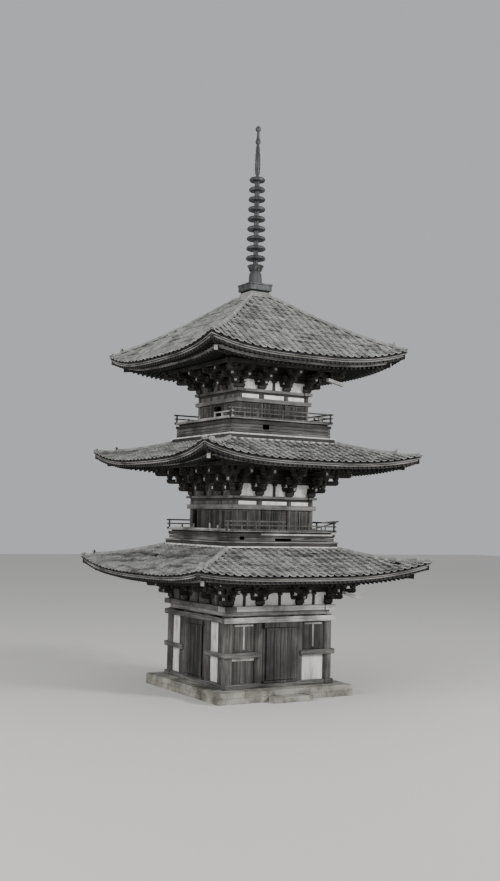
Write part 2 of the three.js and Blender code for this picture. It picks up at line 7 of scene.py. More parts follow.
# %% Load the frame
import json
import math
import random
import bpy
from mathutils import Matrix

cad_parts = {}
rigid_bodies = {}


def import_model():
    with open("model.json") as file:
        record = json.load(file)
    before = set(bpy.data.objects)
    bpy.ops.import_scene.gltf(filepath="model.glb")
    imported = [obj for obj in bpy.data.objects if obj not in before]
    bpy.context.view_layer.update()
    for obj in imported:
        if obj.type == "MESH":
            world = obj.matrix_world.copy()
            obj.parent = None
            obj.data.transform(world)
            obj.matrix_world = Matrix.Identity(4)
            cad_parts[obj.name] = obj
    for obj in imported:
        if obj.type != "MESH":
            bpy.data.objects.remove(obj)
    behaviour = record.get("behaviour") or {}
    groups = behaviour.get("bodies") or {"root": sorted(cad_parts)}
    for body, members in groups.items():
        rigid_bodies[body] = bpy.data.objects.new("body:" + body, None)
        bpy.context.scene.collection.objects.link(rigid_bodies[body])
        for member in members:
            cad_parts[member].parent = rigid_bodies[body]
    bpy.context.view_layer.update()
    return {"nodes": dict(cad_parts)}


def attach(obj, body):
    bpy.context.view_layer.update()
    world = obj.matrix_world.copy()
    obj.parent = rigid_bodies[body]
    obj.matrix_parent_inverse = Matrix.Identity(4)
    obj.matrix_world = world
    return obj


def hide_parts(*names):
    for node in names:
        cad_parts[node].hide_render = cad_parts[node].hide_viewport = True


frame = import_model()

from types import SimpleNamespace as Sizes

import bpy
import numpy as np
from mathutils import Matrix, Vector

# %% [markdown]
# The camera stands off the front left corner, low and far away, as for a picture of a whole tower with a
# normal lens. It looks a little upwards and leans a little, because it was held by hand. Its place,
# direction and lean were worked out from the eaves, the floors and the spire.

# %% Camera
CAMERA = Sizes(at=Vector((-18.713, -31.189, 5.546)), towards=Vector((0.51163, 0.85616, 0.07230)),
               lean=math.radians(1.188), lens=44.64, sight=200)


def add_camera():
    forward = CAMERA.towards.normalized()
    level_right = forward.cross(Vector((0, 0, 1))).normalized()
    level_up = level_right.cross(forward)
    lean = CAMERA.lean
    right = level_right * math.cos(lean) + level_up * math.sin(lean)
    up = level_up * math.cos(lean) - level_right * math.sin(lean)
    turn = Matrix((right, up, -forward)).transposed().to_4x4()
    data = bpy.data.cameras.new("camera")
    data.lens = CAMERA.lens
    data.clip_end = CAMERA.sight
    camera = bpy.data.objects.new("camera", data)
    camera.matrix_world = Matrix.Translation(CAMERA.at) @ turn
    bpy.context.collection.objects.link(camera)
    bpy.context.scene.camera = camera
    return camera


print("camera:", add_camera().name)

# %% [markdown]
# Colours are written as sRGB hex values, as a paint card gives them, and one function turns them into the
# linear numbers that Blender works with. A second small function adds any node with its settings, values,
# links and colour stops, so that every material below reads as a short recipe.

# %% Colours and nodes
def linear(hex_colour):
    parts = [int(hex_colour[i:i + 2], 16) / 255 for i in (1, 3, 5)]
    return [c / 12.92 if c <= 0.04045 else ((c + 0.055) / 1.055) ** 2.4 for c in parts] + [1.0]


def add_node(material, kind, inputs, output=0, stops=(), **settings):
    """Adds a node, sets or links its inputs, and returns one of its outputs."""
    tree = material.node_tree
    node = tree.nodes.new(kind)
    for key, value in settings.items():
        setattr(node, key, value)
    for socket, value in inputs.items():
        if isinstance(value, bpy.types.NodeSocket):
            tree.links.new(value, node.inputs[socket])
        else:
            node.inputs[socket].default_value = value
    if stops:
        band = node.color_ramp.elements
        while len(band) < len(stops):
            band.new(0.5)
        for element, (position, colour) in zip(band, stops):
            element.position = position
            element.color = linear(colour)
    return node.outputs[output]


print("mid grey is linear", round(linear("#808080")[0], 3))

# %% [markdown]
# Weather works in patterns: streaks, blotches, lichen. Each is a cloudy noise whose patches have a size
# in millimetres, read on Object coordinates, which are metres, so it runs on through every board at its
# real size. A second pattern gives each tile or board a tone of its own. Dirt is laid over a colour by
# multiplying, because it only ever darkens. Single numbers, such as roughness, go on the shader itself.

# %% Weather patterns
def patches(material, size_mm, detail=3.0, rough=0.5, stretch=(1, 1, 1)):
    """A cloudy pattern between 0 and 1 with patches of about size_mm, squeezed by stretch."""
    place = add_node(material, "ShaderNodeTexCoord", {}, "Object")
    mapped = add_node(material, "ShaderNodeMapping", {"Vector": place, "Scale": stretch})
    return add_node(material, "ShaderNodeTexNoise",
                    {"Vector": mapped, "Scale": 1000 / size_mm, "Detail": detail, "Roughness": rough})


def own_tone(material, size):
    """A random number for each tile or board, whose size in metres along X, Y and Z is given."""
    place = add_node(material, "ShaderNodeTexCoord", {}, "Object")
    squeeze = [1 / length for length in size]
    mapped = add_node(material, "ShaderNodeMapping", {"Vector": place, "Scale": squeeze})
    cells = add_node(material, "ShaderNodeTexVoronoi", {"Vector": mapped, "Scale": 1.0}, "Color")
    return add_node(material, "ShaderNodeSeparateColor", {"Color": cells})


def dirty(material, colour, pattern, stops):
    """Darkens a colour by the stops that a pattern picks."""
    dirt = add_node(material, "ShaderNodeValToRGB", {"Fac": pattern}, stops=stops)
    return add_node(material, "ShaderNodeMix", {0: 1.0, 6: colour, 7: dirt}, 2,
                    data_type="RGBA", blend_type="MULTIPLY")


def start_material(name, roughness, metallic=0.0):
    material = bpy.data.materials.new(name)
    material.use_nodes = True
    shader = material.node_tree.nodes["Principled BSDF"]
    for socket, value in (("Roughness", roughness), ("Metallic", metallic), ("IOR", 1.5)):
        shader.inputs[socket].default_value = value
    return material, shader


def finish_material(material, shader, colour, height, depth_mm):
    """Gives the shader its colour, and bump from a height pattern that is depth_mm deep."""
    normal = add_node(material, "ShaderNodeBump",
                      {"Height": height, "Distance": depth_mm / 1000, "Strength": 1.0})
    material.node_tree.links.new(colour, shader.inputs["Base Color"])
    material.node_tree.links.new(normal, shader.inputs["Normal"])
    print("material:", material.name)
    return material


# %% [markdown]
# Weathered softwood has lost its brown. Sun and rain leave it silver grey, with dark streaks along the
# grain where the soft early wood has washed out. The pattern is squeezed across the grain and stretched
# along it. Posts and planks have upright grain, and beams, which lie along X or Y, have level grain.
# Real streaks are 5 to 15 mm wide. A pixel of the picture is 30 mm, so they are drawn at 38 mm.

# %% Timber
GRAIN = {"upright": (1.0, 1.0, 0.045), "level": (0.05, 0.05, 1.0)}
STREAK_MM = 38
BLOTCH_MM = 1100
BLOTCH_TONES = [(0.32, "#8b8a88"), (0.62, "#ffffff")]
BOARD_TONES = [(0.1, "#848484"), (0.5, "#d0d0d0"), (0.9, "#ffffff")]


def weathered_timber(name, grain, stops, board=None):
    material, shader = start_material(name, 0.82)
    streaks = patches(material, STREAK_MM, 4.0, 0.65, GRAIN[grain])
    colour = add_node(material, "ShaderNodeValToRGB", {"Fac": streaks}, stops=stops)
    colour = dirty(material, colour, patches(material, BLOTCH_MM, 3.0, 0.6), BLOTCH_TONES)
    if board:
        colour = dirty(material, colour, own_tone(material, board), BOARD_TONES)
    return finish_material(material, shader, colour, streaks, 4)


PLANK = (0.13, 0.13, 8.0)
LAP = (2.6, 2.6, 0.1)
post_wood = weathered_timber("weathered_cypress_posts", "upright",
                             [(0.3, "#32312f"), (0.5, "#555451"), (0.72, "#7c7b77")])
beam_wood = weathered_timber("weathered_cypress_beams", "level",
                             [(0.3, "#3a3937"), (0.5, "#5e5d5a"), (0.72, "#858480")])
# Pale wood: bleached on the dropped planks and the balcony strip, and painted sunlight on the front and
# right plates and rails.
plate_wood = weathered_timber("bleached_and_painted_sunlit_wood", "level",
                              [(0.28, "#8e8d8a"), (0.5, "#bfbebb"), (0.75, "#dddcd8")])
batten_wood = weathered_timber("sun_bleached_battens", "upright",
                               [(0.28, "#7c7b78"), (0.5, "#a4a3a0"), (0.75, "#c6c5c1")])
board_wood = weathered_timber("dark_wall_boards", "upright",
                              [(0.3, "#2d2c2a"), (0.5, "#4f4d4a"), (0.75, "#72706c")], PLANK)
door_wood = weathered_timber("dark_door_planks", "upright",
                             [(0.3, "#292827"), (0.5, "#494745"), (0.75, "#6b6966")], PLANK)
# Near-black wood for the roof boards, rafters, soffits and spire seat: painted shade under the eaves.
shade_dark_eave_wood = weathered_timber("painted_shade_dark_rafters", "level",
                             [(0.3, "#0e0e0e"), (0.55, "#1b1a1a"), (0.8, "#2b2a28")])
# The rafter caps are worn wood, darkened as painted shade under the eaves.
rafter_end_wood = weathered_timber("worn_and_painted_shade_rafter_ends", "level",
                                   [(0.3, "#161615"), (0.55, "#262524"), (0.8, "#393735")])
fascia_wood = weathered_timber("weathered_eave_boards", "level",
                               [(0.3, "#5a5957"), (0.5, "#7b7a77"), (0.75, "#9c9b97")])
# Dark timber for the brackets, beams and curbs, darkened as painted shade under the eaves.
shade_dark_bracket_wood = weathered_timber("shade_dark_bracket_timber", "level",
                                [(0.3, "#1d1c1b"), (0.5, "#343331"), (0.75, "#524f4c")])
# Pale board wood: bleached on the balcony floors and curb boards, and painted light on the second eave
# boards and the ground storey's tie beam.
floor_wood = weathered_timber("bleached_and_painted_light_boards", "level",
                              [(0.3, "#636260"), (0.5, "#8a8987"), (0.75, "#b0afab")])
lap_wood = weathered_timber("weathered_lap_boards", "level",
                            [(0.3, "#464543"), (0.5, "#6e6d6a"), (0.72, "#969591")], LAP)

# %% [markdown]
# Bracket ends were brushed with white shell paint, which has worn to a chalky pale grey. Lime plaster is
# nearly white and matt, with grey rain streaks a hand wide. Its sand grains are 1 to 3 mm, which is too
# fine to show, so the trowelled grain is drawn at 17 mm.

# %% Shell paint and plaster
RAIN_STREAK_MM = 200
TROWEL_GRAIN_MM = 17


def lime_finish(name, stops, streak_mm=RAIN_STREAK_MM, depth_mm=2):
    material, shader = start_material(name, 0.9)
    runs = patches(material, streak_mm, 4.0, 0.6, (1.0, 1.0, 0.25))
    grain = patches(material, TROWEL_GRAIN_MM, 2.0)
    colour = add_node(material, "ShaderNodeValToRGB", {"Fac": runs}, stops=stops)
    return finish_material(material, shader, colour, grain, depth_mm)


plaster = lime_finish("weathered_lime_plaster", [(0.3, "#8f8e8b"), (0.5, "#c9c8c4"), (0.7, "#dedcd8")])
# A dark copy of the plaster: painted shade for the left side's bands and strips.
painted_shade_plaster = lime_finish("painted_shade_lime_plaster",
                              [(0.3, "#3b3a38"), (0.5, "#595754"), (0.7, "#767471")])
# A whiter copy of the plaster: painted light that keeps the bands and strips under the eaves bright.
painted_light_plaster = lime_finish("painted_light_lime_plaster",
                                [(0.3, "#c9c8c5"), (0.5, "#f4f3f0"), (0.7, "#fcfbf8")])
shell_paint = lime_finish("worn_shell_paint", [(0.3, "#6d6c69"), (0.5, "#a5a4a0"), (0.75, "#d5d4d0")], 70)

# %% [markdown]
# The roofs are fired clay pantiles, grey all through from the smoke of the kiln. No two match: each
# firing gives another grey, so every tile has a tone of its own. Lichen grows in spots the size of a
# plate, rain darkens strips down the slope, and the clay's skin is rough. Its pits are under a millimetre
# and are drawn at 22 mm. The ridge tiles are the same clay with a brushed skin.

# %% Tile
TILE = Sizes(width=0.268, course=0.236, thick=0.02, lap=0.02, tilt=0.03)


def smoked_tile():
    material, shader = start_material("smoked_clay_pantiles", 0.62)
    tone = own_tone(material, (TILE.width, TILE.width, 100.0))
    colour = add_node(material, "ShaderNodeValToRGB", {"Fac": tone},
                      stops=[(0.0, "#7f7f7d"), (0.4, "#979794"), (1.0, "#a9a9a6")])
    lichen = patches(material, 380, 5.0, 0.7)
    colour = dirty(material, colour, lichen, [(0.3, "#bfbebb"), (0.55, "#ffffff")])
    wet = patches(material, 140, 3.0, 0.6, (0.12, 0.12, 1.5))
    colour = dirty(material, colour, wet, [(0.36, "#9c9c9a"), (0.52, "#ffffff")])
    return finish_material(material, shader, colour, patches(material, 22), 3)


tile_clay = smoked_tile()
ridge_clay = lime_finish("smoked_ridge_tiles",
                         [(0.3, "#70706e"), (0.5, "#8b8b88"), (0.7, "#a2a29f")], 170, 3)

# %% [markdown]
# Granite is pale grey with dark and white grains of 2 to 5 mm, drawn at 14 mm so that they show, and
# damp stains as wide as a stone. The bronze has a dark, matt skin of patina with a faint green-grey tint,
# with runs down its sides and casting marks, which are drawn at 33 mm.

# %% Granite and bronze
def grained_granite():
    material, shader = start_material("dressed_granite", 0.85)
    grains = patches(material, 14, 4.0, 0.8)
    colour = add_node(material, "ShaderNodeValToRGB", {"Fac": grains},
                      stops=[(0.35, "#5d5b57"), (0.5, "#9a978f"), (0.66, "#c4c1b8")])
    damp = patches(material, 770, 4.0, 0.6)
    colour = dirty(material, colour, damp, [(0.35, "#7f7c74"), (0.6, "#ffffff")])
    return finish_material(material, shader, colour, grains, 4)


def old_bronze():
    material, shader = start_material("patinated_bronze", 0.58, 0.4)
    skin = patches(material, 140, 4.0, 0.6, (1.0, 1.0, 0.4))
    colour = add_node(material, "ShaderNodeValToRGB", {"Fac": skin},
                      stops=[(0.3, "#2d2f2f"), (0.5, "#434545"), (0.7, "#5e6060")])
    return finish_material(material, shader, colour, patches(material, 33), 3)


granite = grained_granite()
bronze = old_bronze()

# %% [markdown]
# Every piece starts as a primitive at its size and place. Operators work on whatever is selected, and the
# loaded solids are selected, so each start deselects everything first. The place and size are then put
# into the mesh, so that every finished object sits at the origin and its pattern doesn't slide.

# %% Start a piece
def take_up(*pieces):
    """Leaves edit mode, selects only these pieces and makes the first one active."""
    active = bpy.context.view_layer.objects.active
    if active is not None and active.mode != "OBJECT":
        bpy.ops.object.mode_set(mode="OBJECT")
    bpy.ops.object.select_all(action="DESELECT")
    for piece in pieces:
        piece.select_set(True)
    if pieces:
        bpy.context.view_layer.objects.active = pieces[0]


def settle(name):
    """Names the new primitive and puts its place and size into its mesh."""
    piece = bpy.context.object
    piece.name = name
    bpy.ops.object.transform_apply(location=True, rotation=True, scale=True)
    return piece


def between(name, start, end):
    """Stretches the new one metre primitive between two opposite corners, and settles it there."""
    piece = bpy.context.object
    piece.location = [(a + b) / 2 for a, b in zip(start, end)]
    piece.scale = [max(abs(b - a), 1e-6) for a, b in zip(start, end)]
    return settle(name)


def box(start, end, name="box"):
    take_up()
    bpy.ops.mesh.primitive_cube_add(size=1)
    return between(name, start, end)


def grid(start, end, columns, rows):
    take_up()
    bpy.ops.mesh.primitive_grid_add(x_subdivisions=columns, y_subdivisions=rows, size=1)
    return between("grid", start, end)


def rod(x, y, low, high, radius, sides=24):
    """An upright round post."""
    take_up()
    bpy.ops.mesh.primitive_cylinder_add(vertices=sides, radius=radius, depth=1)
    piece = bpy.context.object
    piece.location = (x, y, (low + high) / 2)
    piece.scale = (1, 1, high - low)
    return settle("rod")


sample = box((0, 0, 0), (1, 1, 1))
print("a sample box has", len(sample.data.polygons), "faces")

# %% [markdown]
# In edit mode an operator shapes what is picked: vertices by their place, edges by their middle and
# direction, faces by their middle and normal. Closed shapes have their normals turned outwards at the
# end. A modifier is added and applied at once. A narrow bevel on every sharp edge is the wear of hands
# and weather, and it catches the light.

# %% Shape a piece
def done():
    bpy.ops.object.mode_set(mode="OBJECT")


def pick(piece, kind, test):
    """Opens a piece in edit mode with the parts selected that pass the test."""
    take_up(piece)
    mesh = piece.data
    for parts in (mesh.vertices, mesh.edges, mesh.polygons):
        parts.foreach_set("select", [False] * len(parts))
    if kind == "VERT":
        for vertex in mesh.vertices:
            vertex.select = test(vertex.co)
    if kind == "EDGE":
        for edge in mesh.edges:
            a, b = (mesh.vertices[i].co for i in edge.vertices)
            edge.select = test((a + b) / 2, (b - a).normalized())
    if kind == "FACE":
        for face in mesh.polygons:
            face.select = test(face.center, face.normal)
    bpy.context.tool_settings.mesh_select_mode = (kind == "VERT", kind == "EDGE", kind == "FACE")
    bpy.ops.object.mode_set(mode="EDIT")


def open_whole(piece):
    take_up(piece)
    bpy.ops.object.mode_set(mode="EDIT")
    bpy.ops.mesh.select_all(action="SELECT")


def extrude(x, y, z):
    bpy.ops.mesh.extrude_region_move(TRANSFORM_OT_translate={"value": (x, y, z)})


def slide(x, y, z):
    bpy.ops.transform.translate(value=(x, y, z))


def close_outwards():
    """Turns all faces outwards and leaves edit mode."""
    bpy.ops.mesh.select_all(action="SELECT")
    bpy.ops.mesh.normals_make_consistent(inside=False)
    done()


def saw(piece, point, off):
    """Cuts a piece by a plane, drops the part towards off, and closes the cut."""
    open_whole(piece)
    bpy.ops.mesh.bisect(plane_co=point, plane_no=off, use_fill=True, clear_outer=True)
    done()
    return piece


def modify(piece, kind, **settings):
    take_up(piece)
    modifier = piece.modifiers.new(kind.title(), kind)
    for key, value in settings.items():
        setattr(modifier, key, value)
    bpy.ops.object.modifier_apply(modifier=modifier.name)
    return piece


def soften(piece, width=0.008, segments=1):
    return modify(piece, "BEVEL", width=width, segments=segments, limit_method="ANGLE",
                  angle_limit=math.radians(40))


print("softened, the sample has", len(soften(sample).data.polygons), "faces")

# %% [markdown]
# What repeats is modelled once and copied, and each copy has its own mesh. A copy's place is a matrix.
# The tower has four sides, so most pieces are laid out at the front, side 0, and turned by quarters to
# the right, the back and the left. A finished piece gets its material, its body and the solids that it
# stands for.

# %% Copy, join and hand in
def quarter(side):
    return Matrix.Rotation(math.pi / 2 * side, 4, "Z")


def at(x, y, z, turn=0.0, size=(1, 1, 1)):
    """The matrix for a copy: its size first, then its turn about the upright axis, then its place."""
    return Matrix.Translation((x, y, z)) @ Matrix.Rotation(turn, 4, "Z") @ Matrix.Diagonal((*size, 1))


def span(start, end, width, height):
    """The matrix that lays the one metre bar from start to end, its underside through both points."""
    along = Vector(end) - Vector(start)
    across = Vector((-along.y, along.x, 0)).normalized() * width
    return Matrix(((along.x, across.x, 0, start[0]), (along.y, across.y, 0, start[1]),
                   (along.z, across.z, height, start[2]), (0, 0, 0, 1)))


def joined(name, pieces):
    take_up(*pieces)
    if len(pieces) > 1:
        bpy.ops.object.join()
    pieces[0].name = name
    return pieces[0]


def copies(source, name, places=(Matrix.Identity(4),)):
    """Copies a piece to each place and joins the copies."""
    made = []
    for place in places:
        copy = source.copy()
        copy.data = source.data.copy()
        copy.data.transform(place)
        bpy.context.collection.objects.link(copy)
        made.append(copy)
    return joined(name, made)


def discard(*pieces):
    for piece in pieces:
        bpy.data.objects.remove(piece, do_unlink=True)


def on_sides(source, name="sides", sides=(0, 1, 2, 3)):
    """Turns a front piece into copies on the given sides."""
    made = copies(source, name, [quarter(side) for side in sides])
    discard(source)
    return made


def hand_in(piece, material, body="tower", replaces=(), smooth=False):
    """Gives a finished piece its material, its body and the solids that it stands for."""
    take_up(piece)
    piece.data.materials.clear()
    piece.data.materials.append(material)
    if smooth:
        bpy.ops.object.shade_smooth_by_angle(angle=math.radians(35))
    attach(piece, body)
    if replaces:
        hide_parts(*replaces)
    print(piece.name, len(piece.data.polygons), "faces")


rows = on_sides(sample)
print("copied to four sides, it has", len(rows.data.polygons), "faces")
discard(rows)

# %% [markdown]
# Some solids already have the real shape. Such a solid's mesh is loose triangles, so a copy of it is
# merged, its flat faces are dissolved into one face each, and its edges are softened. A copy that is to
# be cut keeps its triangles.

# %% Softened copies of solids
def softened_copy(node, name, width=0.01):
    piece = bpy.data.objects.new(name, frame["nodes"][node].data.copy())
    bpy.context.collection.objects.link(piece)
    open_whole(piece)
    bpy.ops.mesh.remove_doubles(threshold=0.0001)
    if width:
        bpy.ops.mesh.dissolve_limited(angle_limit=math.radians(1))
    done()
    return soften(piece, width) if width else piece


# %% [markdown]
# A roof side is laid out flat first, as seen from above at the front, and then every point is lifted to
# the roof's height. The slope rises evenly from the eave, and each corner lifts by its own amount,
# because old timber has moved. The lift dies away up the slope. The numbers are the solids' own.

# %% The shape of a roof
ROOFS = {
    1: Sizes(half=4.24, eave=3.85, inner=1.55, rise=0.895, wall=1.905, board=0.195,
           sag=(0, 0, 0, 0.08), corners=((0.19, 4), (0.44, 2.7), (0.3, 3.3), (0.31, 3.2))),
    2: Sizes(half=4.0, eave=7.32, inner=1.4, rise=0.87, wall=1.47, board=0.15,
           sag=(0, 0, 0, 0), corners=((0.47, 3.3), (0.345, 2.8), (0.43, 3.3), (0.43, 3.3))),
    3: Sizes(half=3.65, eave=10.6, inner=0.4, rise=2.319, wall=1.33, board=0.195,
           sag=(0, 0, 0, 0), corners=((0.39, 3.2), (0.46, 2.7), (0.43, 3.2), (0.41, 3.2))),
}
LIFT_FADE = 3.2
DECK = 0.02
FLY_IN, BOARD_IN, TIP_IN = 0.11, 0.45, 0.5
EDGE_DROP, FLY_DROP, TIP_DROP, BASE_SLOPE = 0.09, 0.16, 0.07, 0.22


def lift(roof, side, x, w):
    """How far the roof is bent at x along a side and w out from the middle, for arrays or numbers."""
    x = np.asarray(x, float)
    w = np.asarray(w, float)
    share = np.clip(np.abs(x) / np.maximum(w, 0.01), 0, 1)
    left = 1 - np.clip((roof.half - w) / (roof.half - roof.inner), 0, 1)
    near, far = roof.corners[side], roof.corners[(side + 1) % 4]
    rise = np.where(x > 0, far[0] * share ** far[1], near[0] * share ** near[1])
    return rise * left ** LIFT_FADE - roof.sag[side] * (1 - share ** 2) * left ** 2


def eave_line(roof, side, x, w):
    return roof.eave + lift(roof, side, x, w)


def deck_height(roof, side, x, w):
    """The underside of the roof boards."""
    climbed = (roof.half - np.asarray(w, float)) / (roof.half - roof.inner)
    return roof.eave + roof.rise * np.clip(climbed, 0, 1) + lift(roof, side, x, w)


def base_height(roof, side, x, w):
    """The underside of the lower rafters, which are straight from the second eave board to the wall."""
    tip = roof.half - TIP_IN
    low = roof.eave - roof.board - TIP_DROP
    at_wall = low + (tip - roof.wall) * BASE_SLOPE
    w = np.asarray(w, float)
    share = (tip - w) / (tip - roof.wall)
    outer = np.asarray(x, float) * tip / np.maximum(w, 0.01)
    return (low + lift(roof, side, outer, tip)) * (1 - share) + at_wall * share


for level, roof in ROOFS.items():
    tips = [round(float(lift(roof, side, -roof.half, roof.half)), 3) for side in range(4)]
    print("roof", level, "corners lift by", tips)

# %% [markdown]
# Whatever covers a roof side goes through the same steps: cut a flat layout along both diagonals, copy it
# for each side, lift each copy to its own side's height, and turn it there. Lifting by a formula keeps
# every layer of the roof parallel, which bending each by hand wouldn't.

# %% From flat layout to roof
def cut_at_hips(piece):
    for sign in (-1, 1):
        saw(piece, (0, 0, 0), (sign, 1, 0))
    return piece


def raise_to(piece, height, roof, side):
    """Lifts every point of a flat layout to the height that belongs to its place on that side."""
    co = np.empty(len(piece.data.vertices) * 3)
    piece.data.vertices.foreach_get("co", co)
    co = co.reshape(-1, 3)
    co[:, 2] += height(roof, side, co[:, 0], -co[:, 1])
    piece.data.vertices.foreach_set("co", co.ravel())
    piece.data.update()


def four_sides(flat, name, height, roof):
    sides = []
    for side in range(4):
        copy = copies(flat, "side")
        raise_to(copy, height, roof, side)
        copy.data.transform(quarter(side))
        sides.append(copy)
    discard(flat)
    return joined(name, sides)


# %% [markdown]
# A pantile is a shallow trough with a roll along its left edge, which laps over its neighbour and leaves a
# dark line there. One tile is made from a grid: its columns are raised to the wave, its lower end is
# raised to ride on the tile below, and all of it is extruded down by the thickness of the clay.

# %% One pantile
WAVE = (0.046, 0.053, 0.042, 0.022, 0.006, 0.0, 0.003, 0.009, 0.016)
COURSE_LAP = 0.012


def pantile():
    wide = (TILE.width + TILE.lap) / 2
    long = (TILE.course + COURSE_LAP) / 2
    top = DECK + TILE.thick
    columns = len(WAVE) - 1
    tile = grid((-wide, -long, top), (wide, long, top), columns, 1)
    for column, rise in enumerate(WAVE):
        x = (column / columns * 2 - 1) * wide
        pick(tile, "VERT", lambda co, x=x: abs(co.x - x) < 0.001)
        slide(0, 0, rise)
        done()
    pick(tile, "VERT", lambda co: co.y < 0)
    slide(0, 0, TILE.tilt)
    bpy.ops.mesh.select_all(action="SELECT")
    extrude(0, 0, -TILE.thick)
    close_outwards()
    return tile


sample = pantile()
print("a pantile has", len(sample.data.polygons), "faces")
discard(sample)

# %% [markdown]
# Two arrays lay the field, and the hips cut it. Real tiles lie a few millimetres out of line, so each is
# moved by a seeded draw. Three tiles have slid off: a pair high on the lowest roof's left side and one
# near its right corner. There the dark boards show.

# %% Pantile fields
LOST_TILES = ((3, -1.18, 3.066), (3, -0.912, 3.066), (0, 3.108, 3.774))


def tile_field(roof, seed):
    tile = pantile()
    points = len(tile.data.vertices)
    across = math.ceil(2 * roof.half / TILE.width) + 1
    up = math.ceil((roof.half - roof.inner) / TILE.course)
    tile.data.transform(Matrix.Translation((-(across - 1) / 2 * TILE.width,
                                            -roof.half + TILE.course / 2, 0)))
    for count, step in ((across, (TILE.width, 0, 0)), (up, (0, TILE.course, 0))):
        modify(tile, "ARRAY", count=count, use_relative_offset=False, use_constant_offset=True,
               constant_offset_displace=step)
    dice = np.random.default_rng(seed)
    tiles = len(tile.data.vertices) // points
    co = np.empty(len(tile.data.vertices) * 3)
    tile.data.vertices.foreach_get("co", co)
    co = co.reshape(tiles, points, 3)
    co[:, :, 0] += dice.normal(0, 0.003, (tiles, 1))
    co[:, :, 1] += dice.normal(0, 0.004, (tiles, 1))
    co[:, :, 2] += np.abs(dice.normal(0, 0.003, (tiles, 1)))
    tile.data.vertices.foreach_set("co", co.ravel())
    return cut_at_hips(tile)


def lose_tiles(field):
    """Takes away the tile whose roll stands highest at each given place: side, x and distance out."""
    rolls = set()
    for side, x, w in LOST_TILES:
        spot = quarter(side) @ Vector((x, -w, 0))
        near = [v.co for v in field.data.vertices if math.hypot(v.co.x - spot.x, v.co.y - spot.y) < 0.05]
        rolls.add(tuple(max(near, key=lambda co: co.z)))
    pick(field, "VERT", lambda co: tuple(co) in rolls)
    bpy.ops.mesh.select_linked()
    bpy.ops.mesh.delete(type="VERT")
    done()


for level, roof in ROOFS.items():
    field = four_sides(tile_field(roof, seed=level), f"roof_{level}_pantiles", deck_height, roof)
    if level == 1:
        lose_tiles(field)
    hand_in(field, tile_clay, replaces=[f"roof_{level}_tiles"], smooth=True)

# %% [markdown]
# Under the tiles lie thin roof boards, and below their edge hang the eaves in two tiers: a pale curved
# board under a tilting fillet, the short fly rafters behind it, a second curved board, and the long base
# rafters that run in to the wall. Dark boards close the gaps between them. The roof boards, the gap
# boards and the soffits are near-black wood, which is painted shade under the eaves. Each strip is a flat
# grid, extruded down, cut at the hips and lifted to the roof's line.

# %% Roof boards and eave boards
STRIP_STEPS = (26, 6)


def strip(roof, height, outer, inner, thick, top):
    """A board along every side between two distances from the middle, with its top at top."""
    piece = grid((-outer, -outer, top), (outer, -inner, top), *STRIP_STEPS)
    open_whole(piece)
    extrude(0, 0, -thick)
    close_outwards()
    return four_sides(cut_at_hips(piece), "strip", height, roof)


def eave_boards(roof):
    half = roof.half
    fly = half - FLY_IN
    return (
        ("deck_boards", shade_dark_eave_wood, ((deck_height, half - 0.012, roof.inner, DECK, DECK),)),
        ("curved_boards", fascia_wood, ((eave_line, half - 0.035, fly, 0.03, -0.004),
                                        (eave_line, half - 0.065, fly, 0.038, -0.054))),
        # The second board's pale wood is painted light, which brightens it in the shade of the eaves.
        ("second_board", floor_wood, ((eave_line, half - BOARD_IN, half - TIP_IN - 0.02,
                                       roof.board - 0.1, -0.1),)),
        # The backing boards are dark sheets of painted shade behind the fly rafter ends.
        ("painted_shade_backing_boards", shade_dark_eave_wood, ((eave_line, half - 0.085, fly - 0.01, EDGE_DROP, -0.002),
                                       (eave_line, fly + 0.012, fly - 0.02,
                                        FLY_DROP - EDGE_DROP, -EDGE_DROP))),
        ("soffit_boards", shade_dark_eave_wood, ((eave_line, half - 0.1, half - BOARD_IN, 0.016, -0.07),
                                      (base_height, half - TIP_IN, roof.wall, 0.016, 0.092))),
    )


for level, roof in ROOFS.items():
    for name, wood, strips in eave_boards(roof):
        hand_in(joined(f"roof_{level}_{name}", [strip(roof, *sizes) for sizes in strips]), wood)

# %% [markdown]
# The rafters are straight squared poles, a hand's breadth apart. One bar, a metre long, is laid between
# the two ends of each rafter. Near a corner a rafter ends at the hip rafter, which runs out along the
# diagonal. The rafters' near-black wood is painted shade under the eaves. Their ends have lost their
# paint and are only a little paler, so each gets a thin cap of worn wood, darkened with painted shade too.

# %% Rafters
RAFTER = Sizes(pitch=0.172, width=0.055, height=0.075, cap=0.012, off_hip=0.06, inset=0.03)


def unit_bar():
    return box((0, -0.5, 0), (1, 0.5, 1))


def fly_under(roof, side, x, w):
    drop = FLY_DROP - 0.1 * (roof.half - FLY_IN - w)
    return float(roof.eave - drop + lift(roof, side, x, w))


def base_under(roof, side, x, w):
    return float(base_height(roof, side, x, w))


def rafter_lines(roof, outer, inner, least):
    """The x, outer and inner end of each rafter of a tier that is longer than least at the front."""
    count = int((roof.half - 0.2) / RAFTER.pitch)
    lines = []
    for i in range(-count, count + 1):
        x = i * RAFTER.pitch
        start = max(abs(x) + RAFTER.off_hip, inner)
        if start < least:
            lines.append((x, outer, start))
    return lines


